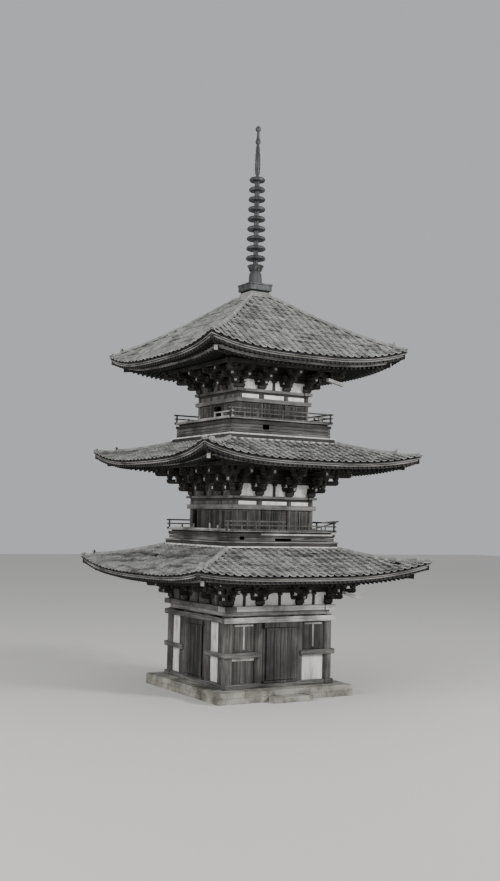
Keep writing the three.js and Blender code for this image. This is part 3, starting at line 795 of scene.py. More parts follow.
def rafters(level, roof):
    bar = unit_bar()
    fly = roof.half - FLY_IN
    tip = roof.half - TIP_IN
    inset = RAFTER.inset
    tiers = ((fly_under, rafter_lines(roof, fly + inset, roof.half - BOARD_IN - inset, fly - inset)),
             (base_under, rafter_lines(roof, tip + 0.04, roof.wall - 0.02, tip - 0.05)))
    bodies = []
    caps = []
    for side in range(4):
        for under, lines in tiers:
            for x, outer, inner in lines:
                start, end = (Vector((x, -w, under(roof, side, x, w))) for w in (outer, inner))
                out = start + (start - end).normalized() * RAFTER.cap
                bodies.append(quarter(side) @ span(start, end, RAFTER.width, RAFTER.height))
                caps.append(quarter(side) @ span(out, start, RAFTER.width, RAFTER.height))
    hand_in(copies(bar, f"roof_{level}_rafters", bodies), shade_dark_eave_wood, replaces=[f"roof_{level}_eaves"])
    hand_in(copies(bar, f"roof_{level}_rafter_ends", caps), rafter_end_wood)
    discard(bar)


for level, roof in ROOFS.items():
    rafters(level, roof)

# %% [markdown]
# The hip rafters carry the corners. Each tier has one, deeper than the rest. The lower one's end was
# painted white, and it looks out below the corner of the second curved board.

# %% Hip rafters
HIP_RAFTER = Sizes(width=0.11, height=0.15, cap=0.015)


def corner_point(side, w, z):
    """The point at half width w on the diagonal of a corner, where corner 0 is the front left one."""
    return quarter(side) @ Vector((-w, -w, z))


def hip_rafters(level, roof):
    bar = unit_bar()
    half = roof.half
    tip = half - TIP_IN
    wall = roof.wall
    tiers = ((fly_under, (half - 0.07, half - 0.07, 0.02), (half - BOARD_IN, half - BOARD_IN, 0.03)),
             (base_under, (tip + 0.1, tip, 0.04), (wall - 0.1, wall, 0.08)))
    bodies = []
    caps = []
    for side in range(4):
        for under, *ends in tiers:
            start, end = (corner_point(side, w, under(roof, side, -measured, measured) - drop)
                          for w, measured, drop in ends)
            bodies.append(span(start, end, HIP_RAFTER.width, HIP_RAFTER.height))
        out = start + (start - end).normalized() * HIP_RAFTER.cap
        caps.append(span(out, start, HIP_RAFTER.width, HIP_RAFTER.height))
    hand_in(soften(copies(bar, f"roof_{level}_hip_rafters", bodies), 0.01), shade_dark_eave_wood)
    hand_in(copies(bar, f"roof_{level}_hip_rafter_ends", caps), shell_paint)
    discard(bar)


for level, roof in ROOFS.items():
    hip_rafters(level, roof)

# %% [markdown]
# Ridge tiles close the hips. A flat course is bedded on the pantiles and a row of half round caps covers
# it. One length is made with its cap, and copies climb the hip. The main ridge stops short of the
# corner with a rounded end tile, and a low single row runs on to the tip. A cap is a cylinder sawn in
# half, whose mouth is widened to lap over the next one.

# %% Ridge tiles
RIDGE = Sizes(length=0.3, seat=0.06, stops={1: 0.34, 2: 0.6, 3: 0.32}, cap=0.06, low_cap=0.058,
              flare=1.14)


def round_cap(radius):
    """A half round tile, one metre long, with a slightly wider mouth."""
    take_up()
    bpy.ops.mesh.primitive_cylinder_add(vertices=16, radius=radius, depth=1, rotation=(0, math.pi / 2, 0))
    bpy.context.object.location = (0.5, 0, 0)
    cap = saw(settle("cap"), (0, 0, -0.01), (0, 0, -1))
    pick(cap, "VERT", lambda co: co.x < 0.1)
    bpy.ops.transform.resize(value=(1, RIDGE.flare, RIDGE.flare))
    done()
    return cap


def ridge_length():
    course = box((0.01, -0.085, 0), (0.99, 0.085, 0.035))
    cap = round_cap(RIDGE.cap)
    cap.data.transform(Matrix.Translation((0, 0, 0.042)))
    return joined("ridge_length", [soften(course, 0.006), cap])


def end_tile(width, height):
    """The upright tile that shuts a ridge: a plate with rounded shoulders and a raised boss."""
    plate = box((-0.03, -width / 2, 0), (0.03, width / 2, height))
    pick(plate, "EDGE", lambda middle, along: abs(along.x) > 0.9 and middle.z > height * 0.9)
    bpy.ops.mesh.bevel(offset=width * 0.4, segments=4)
    done()
    pick(plate, "FACE", lambda middle, normal: normal.x < -0.9)
    bpy.ops.mesh.inset(thickness=0.028)
    extrude(-0.02, 0, 0)
    bpy.ops.transform.resize(value=(1, 0.8, 0.8))
    done()
    return soften(plate, 0.005)


sample = end_tile(0.19, 0.2)
print("an end tile has", len(sample.data.polygons), "faces")
discard(sample)

# %% [markdown]
# Every tile on a hip is laid from one point of the roof's line to the next, so the ridge follows the
# lifted corner in short straight lengths, as real ridge tiles do.

# %% Hip ridges
def hip_point(roof, side, w, above=0.0):
    return corner_point(side, w, float(deck_height(roof, side, -w, w)) + RIDGE.seat + above)


def hip_lengths(roof, side, start, stop, length):
    """The places of ridge tiles of about the given length, from one half width to another."""
    count = max(1, round((start - stop) * math.sqrt(2) / length))
    points = [hip_point(roof, side, start + (stop - start) * i / count) for i in range(count + 1)]
    return [span(a, b, 1, 1) for a, b in zip(points, points[1:])]


def facing(point, side):
    """The matrix that stands an end tile on a point, looking out along the corner's diagonal."""
    return at(*point, math.pi / 4 + math.pi / 2 * side)


def hip_ridges(level, roof, stop):
    half = roof.half
    end = half - RIDGE.stops[level]
    sources = (ridge_length(), round_cap(RIDGE.low_cap), end_tile(0.19, 0.2), end_tile(0.12, 0.12))
    places = ([], [], [], [])
    for side in range(4):
        places[0].extend(hip_lengths(roof, side, end, stop, RIDGE.length))
        places[1].extend(hip_lengths(roof, side, half - 0.1, end, RIDGE.length * 0.7))
        places[2].append(facing(hip_point(roof, side, end, -0.02), side))
        places[3].append(facing(hip_point(roof, side, half - 0.09, -0.03), side))
    made = [copies(source, "ridge", spots) for source, spots in zip(sources, places)]
    discard(*sources)
    return joined(f"roof_{level}_hip_ridges", made)


# %% [markdown]
# Where the lower roofs meet the storey above, a pale fillet of mortar covers the last row of tiles. A
# dark curb beam and a board on top of it stand behind the fillet, and on the second roof mortar was
# smeared over that board too. The curb beam's dark wood is painted shade under the balcony. The top
# roof's peak has a square collar of flat tile courses instead, each set a little further in, under the
# spire's timber seat, whose near-black wood is painted shade beneath the spire's box. Four equal beams
# butt round the square like a pinwheel, so that no joint is doubled.

# %% Kerbs and collar
KERBS = {1: Sizes(half=2.11, thick=0.15, top=4.872), 2: Sizes(half=2.01, thick=0.13, top=8.247)}


def beam_ring(name, half, thick, low, high, past=0.0, bevel=0.008, sides=(0, 1, 2, 3)):
    """Beams round the square. They cross at the corners when past is given, and else butt there."""
    end = half + past if past else half - thick
    beam = soften(box((-half - past, -half, low), (end, -half + thick, high), name), bevel)
    return on_sides(beam, name, sides)


def kerb(level):
    k = KERBS[level]
    half, thick, top = k.half, k.thick, k.top
    curb = beam_ring(f"roof_{level}_curb_beams", half - 0.03, thick - 0.05, top - 0.2, top - 0.045)
    # The curb beam's dark wood is painted shade.
    hand_in(curb, shade_dark_bracket_wood)
    board = beam_ring(f"roof_{level}_curb_boards", half - 0.01, thick - 0.03, top - 0.045, top)
    hand_in(board, plaster if level == 2 else floor_wood)
    hand_in(beam_ring(f"roof_{level}_kerb", half, thick, top - 0.2, top - 0.15), plaster)


def collar():
    # The seat's near-black wood is painted shade under the spire's box.
    hand_in(beam_ring("roof_3_spire_seat", 0.35, 0.2, 13.1, 13.2), shade_dark_eave_wood)
    courses = [beam_ring("course", 0.42 - 0.02 * i, 0.2, 12.97 + 0.06 * i, 13.024 + 0.06 * i)
               for i in range(3)]
    hand_in(joined("roof_3_collar", courses), ridge_clay)


for level, roof in ROOFS.items():
    stop = 0.36 if level == 3 else KERBS[level].half - 0.02
    node = "roof_3_hips" if level == 3 else f"roof_{level}_hips_and_kerb"
    hand_in(hip_ridges(level, roof, stop), ridge_clay, replaces=[node], smooth=True)
    if level == 3:
        collar()
    else:
        kerb(level)

# %% [markdown]
# The bracket clusters carry the wide eaves out over the wall. Each has a large bearing block on the wall
# plate, and tiers of arms and small blocks that step outwards. Every arm is rounded below its ends. The
# blocks start as the tapered foot, and the square upper part is extruded from it.

# %% Bracket pieces
BRACKETS = {
    1: Sizes(line=1.845, pillar=0.74, tie=2.56, low=2.71, plate=2.87, half_plate=0.19,
           reach=0.6, steps=2, block=0.17, top=3.7, arm=0.66),
    2: Sizes(line=1.41, pillar=0.57, tie=6.14, low=6.22, plate=6.3, half_plate=0.15,
           reach=0.9, steps=3, block=0.15, top=7.205, arm=0.58),
    3: Sizes(line=1.27, pillar=0.475, tie=9.57, low=9.64, plate=9.73, half_plate=0.14,
           reach=0.84, steps=3, block=0.14, top=10.41, arm=0.52),
}
TIERS = 3
ARM = Sizes(width=0.095, diagonal=0.115, back=-0.14, past=0.07)


def pitch_of(b):
    return (b.top - b.plate - b.block) / TIERS


def tier_z(b, tier):
    return b.plate + b.block + pitch_of(b) * tier


def step_out(b, step):
    return b.reach * min(step, b.steps) / b.steps


def bearing_block(width, height):
    block = box((-width / 2, -width / 2, 0), (width / 2, width / 2, height * 0.42))
    pick(block, "FACE", lambda middle, normal: normal.z < -0.9)
    bpy.ops.transform.resize(value=(0.66, 0.66, 1))
    done()
    pick(block, "FACE", lambda middle, normal: normal.z > 0.9)
    extrude(0, 0, height * 0.58)
    done()
    return soften(block, 0.006)


def bracket_arm(start, end, height, width=ARM.width):
    """An arm along X from start to end, rounded below the ends that show."""
    arm = box((start, -width / 2, 0), (end, width / 2, height))
    pick(arm, "EDGE", lambda middle, along: abs(along.y) > 0.9 and middle.z < 0.001
         and (middle.x > end - 0.001 or (middle.x < start + 0.001 and start < -0.2)))
    bpy.ops.mesh.bevel(offset=height * 0.62, segments=3)
    done()
    return soften(arm, 0.005)


def bracket_sources(b):
    """One of each piece of a cluster. The coat is the shell paint on an arm's end above its rounding."""
    high = pitch_of(b) * 0.6
    width = ARM.width * 0.42
    sources = {"large": bearing_block(0.29, b.block), "small": bearing_block(0.15, pitch_of(b) * 0.4),
               "lateral": bracket_arm(-b.arm / 2, b.arm / 2, high),
               "coats": soften(box((0, -width, high * 0.36), (0.009, width, high * 0.97)), 0.003)}
    for tier in range(TIERS):
        reach = step_out(b, tier + 1) + ARM.past
        sources[f"out_{tier}"] = bracket_arm(ARM.back, reach, high)
        sources[f"diagonal_{tier}"] = bracket_arm(ARM.back, reach * math.sqrt(2), high, ARM.diagonal)
    return sources


for level, b in BRACKETS.items():
    print("storey", level, "arms reach", b.reach, "m in", b.steps, "steps")

# %% [markdown]
# A cluster is written down as places for its pieces. Its own frame has X along the wall and Y into the
# wall, so minus Y is outwards. The straight cluster stands over each middle pillar. The corner cluster
# has arms both ways and a longer one on the diagonal. About four coats of paint in ten have flaked off.

# %% Bracket clusters
STRAIGHT = ((0, -1, -math.pi / 2, "out"),)
CORNER = STRAIGHT + ((-1, 0, math.pi, "out"), (-1, -1, -math.pi * 3 / 4, "diagonal"))
PAINT_LEFT = 0.6


def cluster_places(b, x, y, arms):
    """Places over one pillar, by kind. Each arm has its two steps outwards, its turn and its kind."""
    high = pitch_of(b) * 0.6
    places = {"large": [at(x, y, b.plate)], "small": [], "lateral": [], "coats": []}
    for tier in range(TIERS):
        z = tier_z(b, tier)
        reach = step_out(b, tier + 1)
        tip = reach + ARM.past
        for i, j, turn, kind in arms:
            places.setdefault(f"{kind}_{tier}", []).append(at(x, y, z, turn))
            places["coats"].append(at(x + i * tip, y + j * tip, z, turn))
            places["small"].append(at(x + i * reach, y + j * reach, z + high))
        line = step_out(b, tier)
        if arms is STRAIGHT:
            laterals = [(x, y - line, 0.0)]
            blocks = (-1, 0, 1)
        else:
            places["small"].append(at(x, y, z + high))
            laterals = []
            if tier:
                laterals = [(x - line + 0.1, y - line, 0.0), (x - line, y - line + 0.1, math.pi / 2)]
            blocks = (-1, 1)
        for along, out, turn in laterals:
            places["lateral"].append(at(along, out, z, turn))
            for step in (block * (b.arm / 2 - 0.06) for block in blocks):
                spot = (along + step * math.cos(turn), out + step * math.sin(turn), z + high)
                places["small"].append(at(*spot))
    return places


def bracket_clusters(level, b):
    sources = bracket_sources(b)
    gathered = {kind: [] for kind in sources}
    for side in range(4):
        for x, arms in ((-b.pillar, STRAIGHT), (b.pillar, STRAIGHT), (-b.line, CORNER)):
            for kind, places in cluster_places(b, x, -b.line, arms).items():
                gathered[kind] += [quarter(side) @ place for place in places]
    dice = random.Random(level)
    kept = [place for place in gathered.pop("coats") if dice.random() < PAINT_LEFT]
    coats = copies(sources["coats"], f"storey_{level}_painted_ends", kept)
    timber = [copies(sources[kind], kind, places) for kind, places in gathered.items()]
    discard(*sources.values())
    hand_in(joined(f"storey_{level}_bracket_arms", timber), shade_dark_bracket_wood)
    hand_in(coats, shell_paint)


for level, b in BRACKETS.items():
    bracket_clusters(level, b)

# %% [markdown]
# The clusters sit on a wide wall plate, and the tie beam runs through the pillar heads below it. The
# plate's lighter wood on the front and right is painted sunlight, and its darker wood on the back and
# left is painted shade. On the ground storey the tie beam is pale wood, a painted light in its recess.
# Between the blocks the wall is white plaster, made whiter than the ground storey's as a painted light
# against the shade of the eaves, and darkened on the left as painted shade. Above that it is dark board
# with a through beam at each tier. A purlin with crossing ends lies on the outermost blocks and holds the
# rafters.

# %% Plates, beams and purlins
# The whiter plaster is painted light under the eaves, and the dark plaster on the left side is painted
# shade.
PLASTERS = (((0, 1, 2), "painted_light", painted_light_plaster), ((3,), "painted_shade", painted_shade_plaster))


def bracket_ring(level, b):
    line = b.line
    # Lighter wood on the front and right plates is painted sunlight, and darker wood on the back and left
    # is painted shade.
    painted_sunlit = plate_wood if level == 1 else fascia_wood
    for sides, where, wood in (((0, 1), "painted_sunlit", painted_sunlit), ((2, 3), "painted_shaded", beam_wood)):
        plate = beam_ring(f"storey_{level}_{where}_wall_plates", line + b.half_plate, 2 * b.half_plate,
                          b.low, b.plate, past=0.05, sides=sides)
        hand_in(plate, wood, replaces=[f"storey_{level}_brackets"])
    for sides, where, finish in PLASTERS:
        band = beam_ring(f"storey_{level}_{where}_plaster_band", line + 0.04, 0.08, b.plate, tier_z(b, 1),
                         sides=sides)
        hand_in(band, finish)
    # The ground storey's tie beam gets pale wood as a painted light in its recess under the plate.
    tie = beam_ring(f"storey_{level}_tie_beam", line + 0.06, 0.12, b.tie, b.low, past=0.02)
    hand_in(tie, floor_wood if level == 1 else shade_dark_bracket_wood)
    beams = [beam_ring("boards", line + 0.03, 0.07, tier_z(b, 1), b.top + 0.16)]
    for z in (tier_z(b, tier) for tier in range(1, TIERS)):
        beams.append(beam_ring("through", line + 0.05, 0.1, z, z + pitch_of(b) * 0.6, past=0.3))
    hand_in(joined(f"storey_{level}_through_beams", beams), shade_dark_bracket_wood)
    purlin = beam_ring(f"storey_{level}_purlin", line + b.reach + 0.06, 0.12, b.top, b.top + 0.135,
                       past=0.1, bevel=0.02)
    hand_in(purlin, shade_dark_bracket_wood)


def bay_struts(level, b):
    """A short post with a block on it in the middle of every bay, between the plate and the first beam."""
    high = tier_z(b, 1) - b.plate - 0.08
    post = soften(box((-0.045, -0.05, 0), (0.045, 0.02, high)), 0.006)
    block = bearing_block(0.15, 0.08)
    block.data.transform(Matrix.Translation((0, -0.02, high)))
    strut = joined("strut", [post, block])
    side_bay = (b.line + b.pillar) / 2
    bays = [0.0] if level > 1 else [-side_bay, 0.0, side_bay]
    places = [quarter(side) @ at(x, -b.line - 0.02, b.plate) for side in range(4) for x in bays]
    hand_in(copies(strut, f"storey_{level}_bay_struts", places), shade_dark_bracket_wood)
    discard(strut)


for level, b in BRACKETS.items():
    bracket_ring(level, b)
    bay_struts(level, b)

# %% [markdown]
# Round pillars stand at the corners and beside the doors. The solids have twelve flats each. Smooth ones,
# a millimetre larger, cover them, and their heads are tapered in a little, as carpenters cut them.

# %% Pillars
def pillars(level, line, inner, radius, inner_radius, low, high):
    made = []
    for r, places in ((radius, [(-line, -line)]), (inner_radius, [(-inner, -line), (inner, -line)])):
        source = rod(0, 0, low, high, r + 0.001, 32)
        pick(source, "EDGE", lambda middle, along: middle.z > high - 0.001)
        bpy.ops.mesh.bevel(offset=0.018, segments=2)
        done()
        spots = [quarter(side) @ at(x, y, 0) for side in range(4) for x, y in places]
        made.append(copies(source, "pillars", spots))
        discard(source)
    hand_in(joined(f"storey_{level}_pillars", made), post_wood, smooth=True)


pillars(1, 1.845, 0.74, 0.16, 0.15, 0.501, 2.56)
pillars(2, 1.41, 0.57, 0.1, 0.1, 4.911, 6.14)
pillars(3, 1.27, 0.475, 0.095, 0.095, 8.371, 9.57)

# %% [markdown]
# The ground storey's side bays and low front bays are white plaster, and the front left low bay has lost
# its plaster down to the boards. The left and right walls have upright cover boards beside the pillars.
# Board walls are rows of upright planks with narrow dark joints over a backing, and plank widths vary a
# little, because boards were sawn from what the tree gave.

# %% Plaster bays and plank walls
def planks(start, end, y0, y1, low, high, width, gap=0.005, seed=1):
    """A row of planks along X from start to end, their faces at y0 (outer) and y1 (inner)."""
    dice = random.Random(seed)
    start, end = sorted((start, end))
    count = max(1, round((end - start) / width))
    cuts = [start + (end - start) * (i + dice.uniform(-0.12, 0.12)) / count for i in range(1, count)]
    row = []
    for a, b in zip([start] + cuts, cuts + [end]):
        step = dice.uniform(0, 0.003)
        row.append(box((a + gap / 2, y0 + step, low), (b - gap / 2, y1, high)))
    return soften(joined("planks", row), 0.003)


CORNERS = ("front_left", "front_right", "back_right", "back_left")
SIDES = ("front", "right", "back", "left")
WALL = Sizes(outer=-1.88, inner=-1.81, near=0.6, far=1.83, foot=0.5, waist=1.31, bare=1.2)


def bay_walls():
    """White plaster in the side bays and the low front bays, and a dark core behind the panels."""
    w = WALL
    white = []
    core = []
    for sign in (-1, 1):
        near, far = sign * w.near, sign * w.far
        white.append(on_sides(box((near, w.outer, w.foot), (far, w.inner, 2.49)), sides=(1, 3)))
        low = w.bare if sign < 0 else w.foot
        for z, side in ((low, 0), (w.foot, 2)):
            white.append(on_sides(box((near, w.outer, z), (far, w.inner, w.waist)), sides=(side,)))
        core.append(on_sides(box((near, w.outer, w.waist), (far, w.inner, 2.53)), sides=(0, 2)))
    core.append(planks(-w.far, -w.near, w.outer + 0.002, w.inner, w.foot, w.bare, 0.16, seed=9))
    for side, sign in ((3, 1), (1, -1)):
        for a, b in ((sign * 1.36, sign * 1.7), (-sign * 0.885, -sign * 1.22)):
            cover = planks(a, b, w.outer - 0.02, w.outer + 0.01, w.foot, 2.36, 0.17, seed=11)
            core.append(on_sides(cover, sides=(side,)))
    nodes = [f"{corner}_corner_walls" for corner in CORNERS]
    hand_in(joined("ground_plaster_walls", white), plaster, replaces=nodes)
    hand_in(joined("ground_board_backing", core), board_wood)


bay_walls()

# %% [markdown]
# Above the waist rail, the bays beside the front and back doors are framed panels: planks with a foot and
# two stiles of dark wood, and a bleached batten up the middle with a bleached head over it.

# %% Framed panels
PANEL = Sizes(near=0.885, far=1.69, low=1.461, high=2.36, face=-1.907, frame=(0.949, 1.626),
              middle=1.2875, stiles=(0.98, 1.595), half=0.031)


def panelled_bays():
    p = PANEL
    out = WALL.outer
    boards = []
    frames = []
    pale = []
    for sign in (-1, 1):
        boards.append(planks(sign * p.near, sign * p.far, out - 0.014, out + 0.01, p.low, p.high,
                             0.13, seed=5 + sign))
        near, far = (sign * x for x in p.frame)
        middle = sign * p.middle
        pale.append(box((middle - p.half, p.face, 1.54), (middle + p.half, out, 2.25)))
        pale.append(box((near, p.face, 2.25), (far, out, 2.311)))
        frames.append(box((near, p.face, 1.479), (far, out, 1.541)))
        for x in (sign * x for x in p.stiles):
            frames.append(box((x - p.half, p.face, 1.541), (x + p.half, out, 2.25)))
    hand_in(on_sides(joined("boards", boards), "ground_panel_boards", (0, 2)), board_wood)
    for made, name, wood in ((frames, "frames", board_wood), (pale, "battens", batten_wood)):
        hand_in(on_sides(soften(joined(name, made), 0.005), f"ground_panel_{name}", (0, 2)), wood)


panelled_bays()

# %% [markdown]
# The waist beams, the door frames and the upper head rails of the solids have the real shape, and they
# stand for themselves with softened edges. The sill and the ground storey's head rails are laid anew as
# four beams each. The head rails' pale wood on the front and right is painted sunlight, and their darker
# wood on the back and left is painted shade.

# %% Beams that keep the solids' shapes
def dress(node, name, material, width=0.01):
    hand_in(softened_copy(node, name, width), material, replaces=[node])


sill = beam_ring("ground_sill_beams", 2.01, 0.33, 0.351, 0.5, past=0.03, bevel=0.012)
hand_in(sill, beam_wood, replaces=["ground_sill"])
# The head rails' pale wood on the front and right is painted sunlight, and their dark wood on the back and
# left is painted shade.
for sides, where, wood in (((0, 1), "painted_sunlit", plate_wood), ((2, 3), "painted_shaded", beam_wood)):
    rails = beam_ring(f"ground_{where}_head_rails", 2.0553, 0.05, 2.36, 2.53, sides=sides)
    hand_in(rails, wood, replaces=["ground_head_rail"])
for corner in CORNERS:
    dress(f"{corner}_waist_beam", f"{corner}_waist_rail", beam_wood, width=0.012)
for side in SIDES:
    dress(f"{side}_door_frame", f"{side}_portal", board_wood)
for level in (2, 3):
    dress(f"storey_{level}_head_rail", f"storey_{level}_tie_rail", fascia_wood, width=0.008)

# %% [markdown]
# A door leaf is upright planks between two end rails, with three more rails across its back. It turns on
# two wooden pins that stand in the threshold and the head, so it has no metal hinges. Each leaf stays
# inside its solid, because the clearances of the moving leaf are the solid's. The shut pairs have a cover
# strip over the gap and thicker edges.

# %% Doors
LEAF = Sizes(inner=0.005, outer=0.52, front=-2.02, back=-1.975, low=0.58, high=2.18,
             pin=(0.504, -1.9975), pin_radius=0.016, socket=0.5603, head=2.1997)


def door_leaf(sign):
    d = LEAF
    near, far = sign * d.inner, sign * d.outer
    made = [soften(box((near, d.front + 0.002, z), (far, d.back, z + 0.07)), 0.004)
            for z in (d.low, d.high - 0.07)]
    start, end = sorted((near, far))
    made += [soften(box((start + 0.02, d.back - 0.02, z), (end - 0.02, d.back, z + 0.08)), 0.004)
             for z in (0.95, 1.38, 1.8)]
    made.append(planks(near, far, d.front + 0.001, d.back - 0.02, d.low + 0.069, d.high - 0.069,
                       0.13, gap=0.008, seed=3 + sign))
    x, y = d.pin
    for low, high in ((d.socket, d.low + 0.01), (d.high - 0.01, d.head)):
        made.append(rod(sign * x, y, low, high, d.pin_radius, 20))
    return joined("leaf", made)


leaves = {-1: door_leaf(-1), 1: door_leaf(1)}
edges = [box((sign * 0.5, -1.976, LEAF.low), (sign * 0.52, -1.9632, LEAF.high)) for sign in leaves]
pair = [copies(leaf, "leaf") for leaf in leaves.values()]
cover_strip = soften(box((-0.035, -2.04, 0.581), (0.035, -2.0, 2.179)), 0.005)
shut_pair = joined("shut_pair", pair + [cover_strip] + edges)
for node, source, side, body in (
        ("front_left_door", leaves[-1], 0, "front_left_door"),
        ("front_right_door", leaves[1], 0, "front_right_door"),
        ("left_front_door", leaves[1], 3, "left_front_door"),
        ("left_back_door", leaves[-1], 3, "left_back_door"),
        ("right_doors", shut_pair, 1, "tower"),
        ("back_doors", shut_pair, 2, "tower")):
    door = copies(source, f"{node}_planked", [quarter(side)])
    hand_in(door, door_wood, body=body, replaces=[node])
discard(*leaves.values(), shut_pair)

# %% [markdown]
# The upper storeys have plank doors that stay shut in the middle bay and boarded bays beside them. A
# narrow strip of plaster shows over the rail. On the left, the second storey has lost a board of its wall
# and the third some boards of its left door. Each dark gap is cut right through with a boolean.

# %% Upper storeys
UPPER = {
    2: Sizes(line=1.41, pillar=0.57, radius=0.1, low=4.96, rail=5.87, white=(6.025, 6.138),
           gap=((-1.6, 1.02, 5.2), (-1.3, 1.3, 5.84)), gap_in=("walls", "boards", "bars")),
    3: Sizes(line=1.27, pillar=0.475, radius=0.095, low=8.42, rail=9.3, white=(9.435, 9.568),
           gap=((-1.6, -0.25, 8.76), (-1.13, 0.22, 9.22)), gap_in=("walls", "doors")),
}


def cut_hole(piece, low, high, rounding=0.0):
    cutter = box(low, high)
    if rounding:
        soften(cutter, rounding, 3)
    modify(piece, "BOOLEAN", object=cutter, operation="DIFFERENCE", solver="MANIFOLD")
    discard(cutter)
    return piece


def storey_doors(s, face, edge):
    doors = [planks(start, end, face - 0.038, face - 0.024, s.low, s.rail, 0.12, seed=seed)
             for start, end, seed in ((-edge, -0.002, 1), (0.002, edge, 2))]
    for z in (s.low + 0.08, s.rail - 0.14):
        rail = box((0.02 - edge, face - 0.048, z), (edge - 0.02, face - 0.03, z + 0.07))
        doors.append(soften(rail, 0.004))
    strip_board = box((-0.025, face - 0.05, s.low), (0.025, face - 0.03, s.rail))
    return joined("doors", doors + [soften(strip_board, 0.004)])


def storey_bays(s, face, near, far):
    """The planks of both bays at the front, and the bars and the post that hold them."""
    rows = []
    frames = []
    for sign in (-1, 1):
        start, end = sign * near, sign * far
        middle = (start + end) / 2
        rows.append(planks(start, end, face - 0.01, face + 0.012, s.low, s.rail, 0.14, seed=7 + sign))
        for z in (s.low, s.rail - 0.06):
            frames.append(box((start, face - 0.022, z), (end, face, z + 0.05)))
        frames.append(box((middle - 0.022, face - 0.02, s.low + 0.05),
                          (middle + 0.022, face, s.rail - 0.06)))
    return joined("rows", rows), joined("frames", frames)


def upper_storey(level, s):
    face = -s.line - 0.035
    edge = s.pillar - s.radius - 0.003
    near = s.pillar + s.radius * 0.9
    far = s.line - s.radius * 0.9
    pieces = {"doors": on_sides(storey_doors(s, face, edge), f"storey_{level}_shut_doors")}
    rows, frames = storey_bays(s, face, near, far)
    pieces["boards"] = on_sides(rows, f"storey_{level}_wall_boards")
    pieces["bars"] = on_sides(soften(frames, 0.004), f"storey_{level}_wall_bars")
    pieces["walls"] = softened_copy(f"storey_{level}_walls", f"storey_{level}_wall_core", 0.0)
    for name in s.gap_in:
        cut_hole(pieces[name], *s.gap)
    hand_in(pieces["doors"], door_wood)
    hand_in(pieces["boards"], board_wood)
    hand_in(pieces["bars"], post_wood)
    hand_in(pieces["walls"], board_wood, replaces=[f"storey_{level}_walls"])
    low, high = s.white
    white = [box((start, face - out, low), (end, face + 0.005, high))
             for start, end, out in ((-far, -near, 0.006), (-edge, edge, 0.032), (near, far, 0.006))]
    white = soften(joined("white", white), 0.002)
    # The strips take the whiter plaster as painted light, and the dark plaster on the left as painted
    # shade.
    for sides, where, finish in PLASTERS:
        strips = on_sides(copies(white, "strips"), f"storey_{level}_{where}_strips", sides)
        hand_in(strips, finish)
    discard(white)


for level, s in UPPER.items():
    upper_storey(level, s)

# %% [markdown]
# The balcony floor is boards that run outwards from the wall and are mitred at the corners. Rain has
# worn their ends uneven. The dark edge board below is set well back, so a shadow lies under the floor's
# edge.

# %% Balcony floors
BALCONIES = {2: Sizes(half=2.05, inner=1.56, low=5.12, top=5.2),
             3: Sizes(half=1.93, inner=1.415, low=8.65, top=8.735)}
BOARD = Sizes(narrow=0.15, wide=0.23, joint=0.006, worn=0.012, thick=0.032, recess=0.12)


def board_row(b, dice):
    half = b.half
    x = -half
    row = []
    while x < half - 0.05:
        wide = min(dice.uniform(BOARD.narrow, BOARD.wide), half - x)
        end = half - abs(dice.gauss(0, BOARD.worn))
        under = b.top - BOARD.thick - dice.uniform(0, 0.003)
        row.append(box((x + BOARD.joint / 2, -end, under),
                       (x + wide - BOARD.joint / 2, -b.inner, b.top - dice.uniform(0, 0.004))))
        x += wide
    return cut_at_hips(joined("row", row))


for level, b in BALCONIES.items():
    dice = random.Random(40 + level)
    boards = []
    for side in range(4):
        boards.append(board_row(b, dice))
        boards[-1].data.transform(quarter(side))
    floor = soften(joined(f"balcony_{level}_boards", boards), 0.003)
    hand_in(floor, floor_wood, replaces=[f"balcony_{level}_floor"])
    half = b.half - BOARD.recess
    edge = beam_ring(f"balcony_{level}_edge_board", half, half - b.inner, b.low, b.top - 0.036)
    hand_in(edge, board_wood)

# %% [markdown]
# Each balcony stands on a low base of lapped boards, two rows on the lower one and four on the upper one,
# behind which the beams of the solid show through holes where boards are missing: a long hole low on
# the lower one's front with a small one to its left, and a square hole in the upper one. The holes are
# cut with booleans whose corners are rounded first. The boards stand before the beams and the camera
# looks from the left, so the holes in them are moved to the left by SIGHT to line up. The lower balcony's
# front edge beam has a bleached strip, whose left third is gone.

# %% Balcony bases
BASES = {2: Sizes(wall=1.78, boards=1.99, low=4.88, top=5.115, rows=2,
                  holes=(((-0.17, 4.85), (0.45, 4.97)), ((-1.46, 4.92), (-1.28, 5.02)))),
         3: Sizes(wall=1.68, boards=1.87, low=8.255, top=8.645, rows=4,
                  holes=(((-0.62, 8.395), (-0.38, 8.555)),))}
LAP_BOARD = Sizes(thick=0.03, step=0.003, joint=0.012)
SIGHT = 0.105
HOLE_ROUNDING = 0.03


def lap_boards(b):
    """The rows of boards on all four sides, from the lowest up, with the front holes cut through them."""
    rise = (b.top - b.low - 0.01) / b.rows
    face = -b.boards
    laps = []
    for side in range(4):
        for i in range(b.rows):
            z = b.low + 0.005 + rise * i
            lap = soften(box((face, face + LAP_BOARD.step * i, z),
                             (-face, face + LAP_BOARD.thick, z + rise - LAP_BOARD.joint)), 0.003)
            for (x0, z0), (x1, z1) in b.holes if side == 0 else ():
                cut_hole(lap, (x0 - SIGHT, face - 0.1, z0), (x1 - SIGHT, face + 0.1, z1), HOLE_ROUNDING)
            laps.append(on_sides(lap, sides=(side,)))
    return laps


